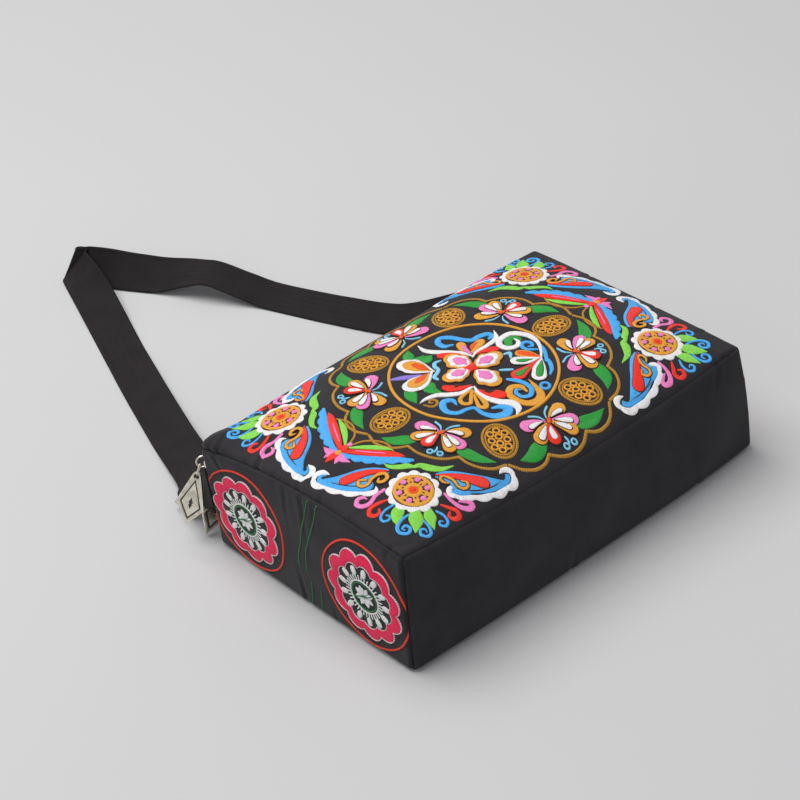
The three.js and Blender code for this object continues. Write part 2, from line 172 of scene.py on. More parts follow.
def circle(count):
    """Angles in even steps all the way round, and the directions they give."""
    angles = np.linspace(0, 2 * math.pi, count, endpoint=False)
    return angles, np.stack([np.cos(angles), np.sin(angles)], axis=1)


# Camera, floor and light

def add_object(name, data):
    made = bpy.data.objects.new(name, data)
    bpy.context.scene.collection.objects.link(made)
    return made


def add_camera():
    """The photo's camera: the place it looks at on the floor, its turn, height, roll and distance."""
    azimuth, elevation, roll = np.radians([-38.13, 34.38, -6.76])
    target = np.array([39.7, 128.8, 0])
    distance = 1901.7
    focal_pixels = 2692.8
    frame_pixels = 800
    sensor_width = 36
    level = math.cos(elevation)
    back = np.array([math.sin(azimuth) * level, -math.cos(azimuth) * level, math.sin(elevation)])
    right = np.cross(-back, (0, 0, 1))
    right /= np.linalg.norm(right)
    up = np.cross(right, -back)
    tilted_right = right * math.cos(roll) + up * math.sin(roll)
    tilted_up = up * math.cos(roll) - right * math.sin(roll)
    place = (target + back * distance) * MM
    data = bpy.data.cameras.new("camera")
    data.sensor_width = sensor_width
    data.lens = focal_pixels * sensor_width / frame_pixels
    camera = add_object("camera", data)
    columns = np.array([tilted_right, tilted_up, back, place]).T
    camera.matrix_world = Matrix([*columns.tolist(), [0, 0, 0, 1]])
    bpy.context.scene.camera = camera


def add_area_light(name, place, aim, size, power, colour):
    data = bpy.data.lights.new(name, "AREA")
    data.shape = "DISK"
    data.size = size
    data.energy = power
    data.color = colour
    light = add_object(name, data)
    light.location = place
    light.rotation_euler = (Vector(aim) - Vector(place)).to_track_quat("-Z", "Y").to_euler()


def add_surroundings():
    """A wide pale floor, a large soft light above, a weak one from the front left and an even sky."""
    half = 5.0
    mesh = bpy.data.meshes.new("floor")
    corners = [(-half, -half, 0), (half, -half, 0), (half, half, 0), (-half, half, 0)]
    mesh.from_pydata(corners, [], [(0, 1, 2, 3)])
    floor = add_object("floor", mesh)
    mesh.materials.append(floor_material())
    add_area_light("key", (-0.4, 0.8, 2.3), aim=(0, 0.1, 0), size=2.4, power=62, colour=(1, 0.99, 0.97))
    add_area_light("fill", (-2.0, -1.4, 1.3), aim=(0, 0, 0), size=1.6, power=7, colour=(0.97, 0.98, 1))
    world = bpy.data.worlds.new("studio")
    world.use_nodes = True
    background = world.node_tree.nodes["Background"]
    background.inputs["Color"].default_value = (0.93, 0.92, 0.94, 1)
    background.inputs["Strength"].default_value = 0.44
    bpy.context.scene.world = world
    bpy.context.scene.view_settings.view_transform = "Standard"


# Materials

class Look:
    """A material under construction: its shader and short ways to add nodes."""

    def __init__(self, name):
        self.material = bpy.data.materials.new(name)
        self.material.use_nodes = True
        self.tree = self.material.node_tree
        self.shader = self.tree.nodes["Principled BSDF"]

    def set(self, **values):
        for key, value in values.items():
            self.shader.inputs[key.replace("_", " ").title().replace("Ior", "IOR")].default_value = value
        return self

    def feed(self, socket, value):
        if hasattr(value, "is_output"):
            self.tree.links.new(value, socket)
        else:
            socket.default_value = value

    def node(self, kind, inputs=(), **settings):
        node = self.tree.nodes.new(kind)
        for key, value in settings.items():
            setattr(node, key, value)
        for key, value in dict(inputs).items():
            self.feed(node.inputs[key], value)
        return node

    def math(self, operation, a, b=0.0):
        """a and b worked together. MULTIPLY_ADD also adds 0.5, which its third input holds from the start."""
        return self.node("ShaderNodeMath", {0: a, 1: b}, operation=operation).outputs[0]

    def attribute(self, name):
        """The three parts of a vector kept in the mesh, in millimetres."""
        vector = self.node("ShaderNodeAttribute", attribute_name=name).outputs["Vector"]
        parts = self.node("ShaderNodeSeparateXYZ", {0: vector})
        return vector, [parts.outputs[i] for i in range(3)]

    def place(self):
        return self.node("ShaderNodeTexCoord").outputs["Object"]

    def wave(self, value, pitch):
        """0 to 1 and back once each pitch millimetres."""
        angle = self.math("MULTIPLY", value, 2 * math.pi / pitch)
        return self.math("MULTIPLY_ADD", self.math("SINE", angle), 0.5)

    def noise(self, vector, scale, detail=2.0, stretch=(1, 1, 1)):
        scaled = self.node("ShaderNodeVectorMath", {0: vector, 1: stretch}, operation="MULTIPLY").outputs[0]
        inputs = {"Vector": scaled, "Scale": scale, "Detail": detail}
        return self.node("ShaderNodeTexNoise", inputs).outputs[0]

    def blend(self, share, first, second):
        mixer = self.node("ShaderNodeMix", data_type="RGBA")
        self.feed(mixer.inputs[0], share)
        self.feed(mixer.inputs[6], first)
        self.feed(mixer.inputs[7], second)
        return mixer.outputs[2]

    def spread(self, value, low, high, to_low=0, to_high=1):
        inputs = {0: value, 1: low, 2: high, 3: to_low, 4: to_high}
        return self.node("ShaderNodeMapRange", inputs).outputs[0]

    def colour(self, value):
        self.feed(self.shader.inputs["Base Color"], value)

    def roughness(self, value):
        self.feed(self.shader.inputs["Roughness"], value)

    def bump(self, *heights):
        """Heights, each with how tall it is in millimetres, laid on one another."""
        normal = None
        for height, tall in heights:
            inputs = {"Height": height, "Distance": tall * MM, "Strength": 1.0}
            if normal is not None:
                inputs["Normal"] = normal
            normal = self.node("ShaderNodeBump", inputs).outputs[0]
        self.feed(self.shader.inputs["Normal"], normal)


def shade(colour, factor):
    return (*(min(1, part * factor) for part in colour[:3]), 1)


def floor_material():
    look = Look("floor_paper").set(specular_ior_level=0.2)
    mottle = look.noise(look.place(), 2.5)
    look.colour(look.blend(mottle, (0.512, 0.517, 0.527, 1), (0.532, 0.537, 0.547, 1)))
    look.roughness(0.75)
    return look.material


def cloth_material(name, colour, pitch=0.75):
    """A plain weave: threads over and under each other both ways, slightly uneven, with a little lint."""
    look = Look(name).set(sheen_weight=0.13, sheen_roughness=0.4, specular_ior_level=0.19)
    vector, (along, across, _) = look.attribute("cloth_place")
    over = look.wave(along, pitch)
    under = look.wave(across, pitch)
    weave = look.math("MULTIPLY", look.math("SUBTRACT", over, 0.5), look.math("SUBTRACT", under, 0.5))
    weave = look.math("MULTIPLY_ADD", weave, 2.0)
    slub = look.noise(vector, 0.35, 3, (0.3, 2.2, 1))
    mottle = look.noise(vector, 0.05, 4)
    tone = look.blend(look.spread(mottle, 0.35, 0.65), shade(colour, 0.8), shade(colour, 1.2))
    tone = look.blend(look.spread(slub, 0.62, 0.75, 0, 0.25), tone, shade(colour, 1.9))
    look.colour(tone)
    look.roughness(look.spread(mottle, 0.3, 0.7, 0.72, 0.86))
    look.bump((weave, 0.09), (slub, 0.12))
    return look.material


def strap_material():
    """A flat woven band: ribs across it, under a fine herringbone."""
    look = Look("strap_webbing").set(sheen_weight=0.04, sheen_roughness=0.4, specular_ior_level=0.15)
    colour = (0.0135, 0.0115, 0.0125, 1)
    vector, (along, across, _) = look.attribute("cloth_place")
    ribs = look.wave(along, 0.9)
    herring = look.wave(look.math("ADD", along, look.math("PINGPONG", across, 2.6)), 1.1)
    mottle = look.noise(vector, 0.06, 4)
    look.colour(look.blend(look.spread(mottle, 0.35, 0.65), shade(colour, 0.8), shade(colour, 1.25)))
    look.roughness(look.spread(mottle, 0.3, 0.7, 0.66, 0.8))
    look.bump((herring, 0.12), (ribs, 0.05))
    return look.material


def thread_material(name, colour, dark=0.8, light=1.12, dashes=None):
    """Satin stitches: fine threads side by side across the stroke, with lighter and darker streaks and
    painted shade in the grooves between threads.
    """
    look = Look(name).set(sheen_weight=0.05, sheen_roughness=0.3, specular_ior_level=0.3)
    vector, (along, across, _) = look.attribute("thread")
    threads = look.wave(along, 0.5)
    streaks = look.noise(vector, 1.1, 2, (1.6, 0.25, 3.0))
    tone = look.blend(look.spread(streaks, 0.3, 0.7), shade(colour, dark), shade(colour, light))
    # painted shade: the colour darkens in the grooves between threads
    tone = look.blend(look.spread(threads, 0.0, 0.35, 0.35, 0), tone, shade(colour, 0.45))
    if dashes:
        gaps = look.wave(along, dashes)
        tone = look.blend(look.spread(gaps, 0.0, 0.3, 0.75, 0), tone, shade(colour, 0.22))
    look.colour(tone)
    look.roughness(look.spread(streaks, 0.3, 0.7, 0.42, 0.55))
    look.bump((threads, 0.12), (streaks, 0.15))
    return look.material


def metal_material():
    """Pale gold plating with fine brushing and a few dull patches."""
    look = Look("pale_gold_plating").set(metallic=1.0)
    place = look.place()
    brushed = look.noise(place, 900, 2, (1, 1, 0.08))
    patches = look.noise(place, 260, 3)
    look.colour(look.blend(look.spread(patches, 0.4, 0.7), (0.84, 0.80, 0.68, 1), (0.66, 0.60, 0.47, 1)))
    look.roughness(look.spread(patches, 0.3, 0.7, 0.24, 0.42))
    look.bump((brushed, 0.02), (patches, 0.05))
    return look.material


def nylon_material():
    look = Look("nylon_teeth").set(specular_ior_level=0.5)
    grain = look.noise(look.place(), 1500, 2)
    look.colour(look.blend(grain, (0.016, 0.016, 0.018, 1), (0.034, 0.034, 0.037, 1)))
    look.roughness(look.spread(grain, 0.3, 0.7, 0.35, 0.5))
    look.bump((grain, 0.03))
    return look.material


def tape_material():
    """Narrow woven tape behind the zips, worked from its place in the bag because its mesh is the solid's."""
    look = Look("zip_tape_weave").set(sheen_weight=0.1, specular_ior_level=0.3)
    place = look.place()
    parts = look.node("ShaderNodeSeparateXYZ", {0: place})
    ribs = look.wave(look.math("MULTIPLY", parts.outputs[0], 1 / MM), 0.8)
    rows = look.wave(look.math("MULTIPLY", parts.outputs[2], 1 / MM), 0.6)
    mottle = look.noise(place, 60, 3)
    look.colour(look.blend(mottle, (0.010, 0.010, 0.012, 1), (0.022, 0.021, 0.024, 1)))
    look.roughness(0.85)
    look.bump((ribs, 0.1), (rows, 0.06))
    return look.material


# Mesh making

def make_piece(name, points, faces, material, stands_for=None, vectors=None, smooth=True):
    """A mesh object from points in millimetres. vectors is a name and a vector for each point."""
    mesh = bpy.data.meshes.new(name)
    points = np.asarray(points, float).reshape(-1, 3) * MM
    mesh.from_pydata(points.tolist(), [], [tuple(int(i) for i in face) for face in faces])
    if vectors is not None:
        key, values = vectors
        attribute = mesh.attributes.new(key, "FLOAT_VECTOR", "POINT")
        attribute.data.foreach_set("vector", np.asarray(values, np.float32).ravel())
    mesh.update()
    if smooth:
        mesh.shade_smooth()
    mesh.materials.append(material)
    piece = add_object(name, mesh)
    if stands_for:
        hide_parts(stands_for)
    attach(piece, ROOT)
    return piece


def grid_faces(rows, columns, closed_rows=False, closed_columns=False):
    """Quads of a grid of points, row by row."""
    i = np.arange(rows if closed_rows else rows - 1)
    j = np.arange(columns if closed_columns else columns - 1)
    i, j = np.meshgrid(i, j, indexing="ij")
    below, beside = (i + 1) % rows, (j + 1) % columns
    corners = [i * columns + j, below * columns + j, below * columns + beside, i * columns + beside]
    return np.stack([c.ravel() for c in corners], axis=1)


def modify(piece, kind, **settings):
    modifier = piece.modifiers.new(kind.lower(), kind)
    for key, value in settings.items():
        setattr(modifier, key, value)


def apply_modifiers(piece):
    evaluated = piece.evaluated_get(bpy.context.evaluated_depsgraph_get())
    mesh = bpy.data.meshes.new_from_object(evaluated)
    piece.modifiers.clear()
    piece.data = mesh


def fix_normals(piece):
    mesh = bmesh.new()
    mesh.from_mesh(piece.data)
    bmesh.ops.recalc_face_normals(mesh, faces=mesh.faces)
    mesh.to_mesh(piece.data)
    mesh.free()


# Shape of the bag, as in the solids

def bag_shape(p):
    """Carries points of the plain box to the filled, sagging bag. The floor plane stays flat."""
    x, y, z = p[..., 0], p[..., 1], p[..., 2]
    u, v = x / HALF_WIDTH, y / HALF_HEIGHT
    w = np.clip(z / BAG_DEPTH, 0, 1)
    left, right = ((1 - u) / 2) ** 4, ((1 + u) / 2) ** 4
    bottom, zips = ((1 - v) / 2) ** 4, ((1 + v) / 2) ** 4
    upper, belly = w * w, 4 * w * (1 - w)
    low = 1 - upper
    rise = SIDE_RIM_RISE * left * swell(v + SIDE_RIM_SHIFT, 2)
    sag = BOTTOM_RIM_SAG * bottom * swell(u, 2) + ZIP_CORNER_DROP * left * zips
    crown = FRONT_CROWN * swell(u, 4) * swell(v, 4)
    out_left = SIDE_SPREAD * low * (1 - v) / 2 + ZIP_CORNER_SPREAD * zips * upper
    out_right = CORNER_SPREAD * bottom * low
    out_x = SIDE_BULGE * belly * swell(v, 2) * (right - left) + out_right * right - out_left * left
    foot = np.where(u < 0, 1 - (1 - LEFT_CORNER_FOOT) * u**4, swell(u, 4))
    bulge = (ZIP_BULGE * zips - BOTTOM_BULGE * bottom) * belly * swell(u, 4)
    out_y = bulge - BOTTOM_SPREAD * low * bottom * foot
    return np.stack([x + out_x, y + out_y, z + (crown + rise - sag) * upper], axis=-1)


def skin(p, depth):
    """Carries points of the sharp box onto the box with rounded seams, sunk by depth."""
    low = np.array([-HALF_WIDTH + SEAM_RADIUS, -HALF_HEIGHT + SEAM_RADIUS, SEAM_RADIUS])
    high = np.array([HALF_WIDTH - SEAM_RADIUS, HALF_HEIGHT - SEAM_RADIUS, BAG_DEPTH - SEAM_RADIUS])
    core = np.clip(p, low, high)
    out = p - core
    out /= np.linalg.norm(out, axis=-1, keepdims=True)
    return core + out * (SEAM_RADIUS - np.asarray(depth)[..., None])


# How the cloth differs from the plain rounded box, in millimetres
SEAM_GROOVE = {"deep": 1.5, "wide": 1.1}
SOFT_SEAM = 0.3
SEAM_ROLL = {"high": 0.3, "at": 3.6, "wide": 1.8}
TUCK_WIDTH = 1.5
TUCK_ROLL = {"share": 0.55, "at": 3.2, "wide": 2.4}
EVEN_RIM = 18
PUFF_RIM = 2.5


class Panel:
    """One piece of the bag's cloth. place(a, b) is on the sharp box, and a cross b points outwards."""

    def __init__(self, node, a_range, b_range, place, uneven, tucks, seed, step=2.2, soft=None, puff=None):
        self.node, self.place = node, place
        self.a_range, self.b_range, self.step = a_range, b_range, step
        self.uneven, self.tucks, self.seed = uneven, tucks, seed
        self.soft, self.puff = soft, puff

    def edges(self, a, b):
        """How far each place is from each sewn edge."""
        low, high = self.a_range
        base, top = self.b_range
        return {"l": a - low, "h": high - a, "b": b - base, "t": top - b}

    def depth(self, a, b):
        """How far the cloth lies below the plain rounded box: seam grooves, rolls, tucks and unevenness."""
        total = np.zeros(np.broadcast(a, b).shape)
        nearest = np.full(total.shape, 1e3)
        groove = np.zeros(total.shape)
        for edge, distance in self.edges(a, b).items():
            nearest = np.minimum(nearest, distance)
            strength = SOFT_SEAM if edge == self.soft else 1.0
            groove = np.maximum(groove, strength * hump(distance, SEAM_GROOVE["wide"]))
        total += SEAM_GROOVE["deep"] * groove
        total -= SEAM_ROLL["high"] * hump(nearest - SEAM_ROLL["at"], SEAM_ROLL["wide"])
        for edge, at, length, deep, slant in self.tucks:
            distance = self.edges(a, b)[edge]
            position = (b if edge in "lh" else a) - at - slant * distance
            beside = TUCK_ROLL["share"] * hump(position - TUCK_ROLL["at"], TUCK_ROLL["wide"])
            total += deep * (hump(position, TUCK_WIDTH) - beside) * hump(distance, length)
        inner = 1 - hump(nearest, EVEN_RIM)
        total += self.uneven * inner * ripple(a, b, self.seed, 7, 90, 34)
        if self.puff:
            at_a, at_b, reach, height = self.puff
            distance = np.hypot(a - at_a, b - at_b)
            total -= height * hump(distance, reach) * (1 - hump(nearest, PUFF_RIM))
        return total

    def surface(self, a, b, raised=0.0):
        a, b = np.broadcast_arrays(np.asarray(a, float), np.asarray(b, float))
        return bag_shape(skin(self.place(a, b), self.depth(a, b) - raised))


def panel_lines(low, high, step):
    """Grid lines from low to high, closer together by the seams."""
    bends = np.array([0, 0.35, 0.8, 1.4, 2.1, 3, 4, 5, 6.4, 8])
    middle = np.linspace(low + bends[-1], high - bends[-1], int((high - low - 2 * bends[-1]) / step) + 1)
    return np.concatenate([low + bends[:-1], middle, high - bends[-2::-1]])


X_RANGE = (-HALF_WIDTH + SEAM_GAP, HALF_WIDTH - SEAM_GAP)
Y_RANGE = (-HALF_HEIGHT + SEAM_GAP, HALF_HEIGHT - SEAM_GAP)
Z_RANGE = (SEAM_GAP, BAG_DEPTH - SEAM_GAP)

FRONT_PUFF = (-141, 88, 13, 5)  # its place, reach and height: the full corner above the pulls
# A tuck: its edge, where along the edge it is, how long, how deep and how slanted. Edges l and h are the low
# and high end of the panel's a, and b and t those of its b.
FRONT_TUCKS = [
    ("l", 88, 9, 0.9, -0.4),
    ("l", 79, 13, 1.5, 0.3),
    ("l", 52, 8, 0.7, 0.2),
    ("l", 41, 15, 1.8, 0.35),
    ("l", 26, 7, 0.6, -0.2),
    ("l", 2, 11, 1.3, 0.3),
    ("l", -19, 8, 0.8, 0.1),
    ("l", -47, 10, 0.7, -0.2),
    ("l", -83, 12, 0.9, -0.6),
    ("b", -132, 11, 0.8, 0.4),
    ("b", -97, 8, 0.6, 0.1),
    ("b", -38, 9, 0.6, -0.2),
    ("b", 24, 8, 0.5, 0.2),
    ("b", 92, 10, 0.8, -0.3),
    ("b", 134, 12, 1.0, -0.5),
    ("h", -70, 10, 0.9, 0.3),
    ("h", -22, 8, 0.6, -0.2),
    ("h", 38, 10, 0.8, 0.2),
    ("t", -96, 9, 0.7, 0.3),
    ("t", 12, 8, 0.6, -0.2),
    ("t", 104, 9, 0.8, 0.2),
]
LEFT_TUCKS = [
    ("h", 84, 14, 1.0, -0.5),
    ("h", 14, 22, 0.6, -0.15),
    ("h", -2, 30, 0.8, -0.2),
    ("h", -14, 18, 0.5, -0.1),
    ("h", -84, 10, 0.7, 0.3),
    ("l", 3, 20, 1.0, 0.1),
    ("l", -28, 10, 0.6, 0.2),
    ("t", 60, 10, 0.9, 0.2),
]
RIGHT_TUCKS = [
    ("t", -4, 24, 1.0, 0.15),
    ("t", 60, 12, 0.8, 0.4),
    ("t", -70, 12, 0.9, -0.3),
    ("b", 20, 14, 0.8, 0.2),
]
BOTTOM_TUCKS = [
    ("t", -130, 14, 0.9, 0.5),
    ("t", -60, 9, 0.6, -0.2),
    ("t", 40, 10, 0.7, 0.2),
    ("t", 128, 16, 1.2, -0.5),
    ("b", -20, 12, 0.8, 0.3),
    ("b", 96, 12, 0.9, -0.3),
]

PANELS = {
    panel.node: panel
    for panel in [
        Panel("front_panel", X_RANGE, Y_RANGE, lambda a, b: stack(a, b, BAG_DEPTH), 0.35, FRONT_TUCKS, 3,
              step=1.6, soft="b", puff=FRONT_PUFF),
        Panel("back_panel", Y_RANGE, X_RANGE, lambda a, b: stack(b, a, 0), 0.0, (), 4),
        Panel("bottom_panel", X_RANGE, Z_RANGE, lambda a, b: stack(a, -HALF_HEIGHT, b), 0.9, BOTTOM_TUCKS, 5,
              soft="t"),
        Panel("side_panel_left", Z_RANGE, Y_RANGE, lambda a, b: stack(-HALF_WIDTH, b, a), 0.6, LEFT_TUCKS, 6,
              step=1.5),
        Panel("side_panel_right", Y_RANGE, Z_RANGE, lambda a, b: stack(HALF_WIDTH, a, b), 0.8, RIGHT_TUCKS,
              7),
    ]
}


def add_cloth(node, a, b, points, material):
    """A grid of points as a piece of cloth with two faces and turned edges."""
    places = ("cloth_place", stack(a[:, None], b[None, :], 0))
    piece = make_piece(node + "_cloth", points, grid_faces(len(a), len(b)), material, node, places)
    modify(piece, "SOLIDIFY", thickness=CLOTH_WALL * MM, offset=-1)
    apply_modifiers(piece)


def add_panel(panel, material):
    a = panel_lines(*panel.a_range, panel.step)
    b = panel_lines(*panel.b_range, panel.step)
    add_cloth(panel.node, a, b, panel.surface(a[:, None], b[None, :]), material)


# The zip side

def row_height(row):
    return BAG_DEPTH / (ZIP_ROWS + 1) * (row + 1)


def zip_surface(a, b, raised=0.0):
    a, b = np.broadcast_arrays(np.asarray(a, float), np.asarray(b, float))
    return bag_shape(skin(stack(b, HALF_HEIGHT, a), -np.asarray(raised) + np.zeros(a.shape)))


def add_zip_strips(material):
    """Strips of cloth between the zips, with edges turned under beside each slot and a line of stitching."""
    near_edge = np.array([0.3, 0.7, 1.2])
    hem_roll = 0.5
    hem_turn = 1.4
    stitch_depth = 0.25
    end_depth = 1.4
    unevenness = 0.25
    b = panel_lines(*X_RANGE, 2.5)
    side = np.minimum(b - b[0], b[-1] - b)[None, :]
    for strip in range(ZIP_ROWS + 1):
        low = SEAM_GAP if strip == 0 else row_height(strip - 1) + SLOT_WIDTH / 2
        high = BAG_DEPTH - SEAM_GAP if strip == ZIP_ROWS else row_height(strip) - SLOT_WIDTH / 2
        a = np.unique(np.concatenate([np.linspace(low, high, 12), low + near_edge, high - near_edge]))
        edge = np.minimum(a - low, high - a)[:, None]
        raised = hem_roll * (hump(edge - 2.0, 1.3) - hem_turn * hump(edge, 0.5))
        raised = raised - stitch_depth * hump(edge - 3.6, 0.35) - end_depth * hump(side, 1.1)
        raised = raised + unevenness * ripple(a[:, None], b[None, :], 20 + strip, 6, 60, 24)
        points = zip_surface(a[:, None], b[None, :], raised)
        add_cloth(f"zip_strip_{strip + 1}", a, b, points, material)


def add_zip_teeth(material):
    """Coil zips: two rows of rounded nylon teeth that mesh in the middle, and a cord edge outside them."""
    pitch = 1.5
    stations = np.array([-0.55, -0.35, 0.6, 2.1, 2.45])[:, None]  # out from the zip's middle
    widths = np.array([0.12, 0.36, 0.40, 0.38, 0.15])[:, None]
    sides = 8
    sunk = 0.35
    flatness = 0.95
    end = HALF_WIDTH - ZIP_END_MARGIN
    turns = circle(sides)[0][None, :]
    base = list(range(sides))
    tip = [corner + (len(stations) - 1) * sides for corner in base]
    tooth = [*grid_faces(len(stations), sides, closed_columns=True).tolist(), base, tip[::-1]]
    for row in range(ZIP_ROWS):
        points, faces = [], []
        for side in (-1, 1):
            shape = tooth if side > 0 else [face[::-1] for face in tooth]
            for index in range(int(2 * end / pitch)):
                start = len(points) * len(stations) * sides
                along = -end + pitch * (index + 0.5 + 0.25 * side)
                a = row_height(row) + side * stations + 0 * turns
                b = along + widths * np.cos(turns)
                raised = COIL_RISE - sunk + widths * flatness * np.sin(turns)
                points.append(zip_surface(a, b, raised))
                faces.extend([corner + start for corner in face] for face in shape)
        name = f"zip_coil_{row + 1}"
        make_piece(name + "_teeth", np.array(points), faces, material, name)


# The strap

def smooth_rows(rows, steps):
    """A smooth curve through rows of values."""
    rows = np.asarray(rows, float)
    padded = np.vstack([rows[:1], rows, rows[-1:]])
    slopes = (padded[2:] - padded[:-2]) / 2
    t = np.arange(steps)[:, None] / steps
    smooth = [curve(t, rows[i], slopes[i], rows[i + 1], slopes[i + 1]) for i in range(len(rows) - 1)]
    return np.vstack([*smooth, rows[-1:]])


def strap_row(row):
    """A row of the tables above as x, y and z of the lower edge, lean and swing."""
    out, back, lift, lean, swing = row
    rest = STRAP_THICKNESS / 2 * math.cos(math.radians(lean))
    near = min(back, TURN_SHARE) / TURN_SHARE
    far = max(0, back - TURN_SHARE) / (1 - TURN_SHARE)
    behind = STRAP_TURN * near + (STRAP_REACH - STRAP_TURN) * far
    return (out * HALF_WIDTH, HALF_HEIGHT + behind, lift * STRAP_SEAT + rest, lean, swing)


def strap_seat_row(side):
    """The row where the strap leaves the seam at one side of the bag."""
    heights = np.array([STRAP_SEAT, STRAP_SEAT + STRAP_WIDTH])
    seam = stack(side * HALF_WIDTH, HALF_HEIGHT - STRAP_SEAT_BACK, heights)
    low, high = bag_shape(skin(seam, np.full(2, -LAYER_GAP - STRAP_THICKNESS / 2)))
    lean = 90 + math.degrees(math.atan2(low[0] - high[0], STRAP_WIDTH))
    return (low[0], low[1], STRAP_SEAT, lean, side * SEAT_SWING)


def strap_stations(steps=10):
    """The rows of the whole strap, with a small arc where it folds."""
    inbound = smooth_rows([strap_seat_row(-1), *map(strap_row, STRAP_TO_FOLD)], steps)
    outbound = smooth_rows([*map(strap_row, STRAP_FROM_FOLD), strap_seat_row(1)], steps)
    arrive, before, after = inbound[-1], inbound[-2], outbound[1]
    to_before = before[:2] - arrive[:2]
    to_after = after[:2] - arrive[:2]
    to_before /= np.linalg.norm(to_before)
    to_after /= np.linalg.norm(to_after)
    half_angle = math.acos(np.clip(to_before @ to_after, -1, 1)) / 2
    bisector = to_before + to_after
    bisector /= np.linalg.norm(bisector)
    centre = arrive[:2] + bisector * STRAP_FOLD_RADIUS / math.sin(half_angle)
    sweep = math.pi - 2 * half_angle
    outward = math.atan2(-bisector[1], -bisector[0])
    turn = np.sign(to_after[0] * to_before[1] - to_after[1] * to_before[0]) or 1
    shares = np.linspace(0, 1, 12)
    angles = outward + turn * sweep * (0.5 - shares)
    arc = np.stack([
        centre[0] + STRAP_FOLD_RADIUS * np.cos(angles),
        centre[1] + STRAP_FOLD_RADIUS * np.sin(angles),
        np.full(len(shares), arrive[2]),
        arrive[3] + (FOLD_LEAN - arrive[3]) * shares,
        arrive[4] + (FOLD_SWING - arrive[4]) * shares,
    ], axis=1)
    reach = STRAP_FOLD_RADIUS / math.tan(half_angle)
    legs = [rows[np.linalg.norm(rows[:, :2] - arrive[:2], axis=1) > reach] for rows in (inbound, outbound)]
    return np.vstack([legs[0], arc, legs[1]])


STRAP_SECTION = [  # share of the width, share of the thickness, with a thicker woven edge along each side
    (0.0, 0.1), (0.012, 0.75), (0.035, 1.0), (0.065, 0.95), (0.09, 0.72),
    (0.2, 0.74), (0.35, 0.76), (0.5, 0.76), (0.65, 0.76), (0.8, 0.74),
    (0.91, 0.72), (0.935, 0.95), (0.965, 1.0), (0.988, 0.75), (1.0, 0.1),
]
STRAP_WAVER = 0.3
STRAP_HELD = 40  # from each seam, where the waver grows
FLOOR_CLEARANCE = 0.05


def add_strap(material):
    """The strap as a ribbon with a thicker woven edge along each side."""
    rows = strap_stations()
    lean, swing = np.radians(rows[:, 3]), np.radians(rows[:, 4])
    feet = rows[:, :3].copy()
    feet[:, 2] = np.maximum(feet[:, 2], STRAP_THICKNESS / 2 * np.cos(lean))
    across = stack(np.cos(swing) * np.cos(lean), np.sin(swing) * np.cos(lean), np.sin(lean))
    normal = np.cross(np.gradient(feet, axis=0), across)
    normal /= np.linalg.norm(normal, axis=1, keepdims=True)
    shares, thick = np.array(STRAP_SECTION).T
    widths = np.concatenate([shares, shares[::-1]]) * STRAP_WIDTH
    thick = np.concatenate([thick, -thick[::-1]]) * STRAP_THICKNESS / 2
    travelled = travel(feet)
    waver = STRAP_WAVER * ripple(travelled[:, None], widths[None, :], 31, 6, 110, 45)
    held = np.minimum(1, np.minimum(travelled, travelled[-1] - travelled) / STRAP_HELD)[:, None]
    lift = thick[None, :] + waver * held
    points = feet[:, None] + across[:, None] * widths[None, :, None] + normal[:, None] * lift[..., None]
    points[..., 2] = np.maximum(points[..., 2], FLOOR_CLEARANCE)
    count = len(widths)
    faces = grid_faces(len(rows), count, closed_columns=True)[:, ::-1].tolist()
    faces.append(list(range(count)))
    faces.append(list(range((len(rows) - 1) * count, len(rows) * count))[::-1])
    places = ("cloth_place", stack(travelled[:, None], widths[None, :], 0))
    piece = make_piece("strap_band", points, faces, material, "strap", places)


# Metal parts: finer copies of the solids' shapes

def refine(node, material, bevel=None, rounds=0, fatten=0.0):
    """A piece with a CAD node's shape, its edges rounded or its wires smoothed."""
    name = node + "_fine"
    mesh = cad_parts[node].data.copy()
    mesh.name = name
    mesh.materials.clear()
    mesh.materials.append(material)
    piece = add_object(name, mesh)
    modify(piece, "WELD", merge_threshold=0.00001)
    if bevel:
        bent = math.radians(35)
        modify(piece, "BEVEL", width=bevel * MM, segments=2, limit_method="ANGLE", angle_limit=bent)
    if fatten:
        modify(piece, "DISPLACE", strength=fatten * MM, mid_level=0)
    if rounds:
        modify(piece, "SUBSURF", levels=rounds, render_levels=rounds)
    apply_modifiers(piece)
    piece.data.shade_smooth()
    if bevel:
        piece.data.set_sharp_from_angle(angle=math.radians(40))
    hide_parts(node)
    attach(piece, ROOT)


GROOVE_SHADE = (0.76, 0.66)  # outer and inner edge of the dark band of painted shade where the kite's groove is, as shares of the kite
DIAMOND = (0.15, 0.01)
DARK_MARK_RISES = (-0.1, 0.06)  # from just under the kite's face to just over it


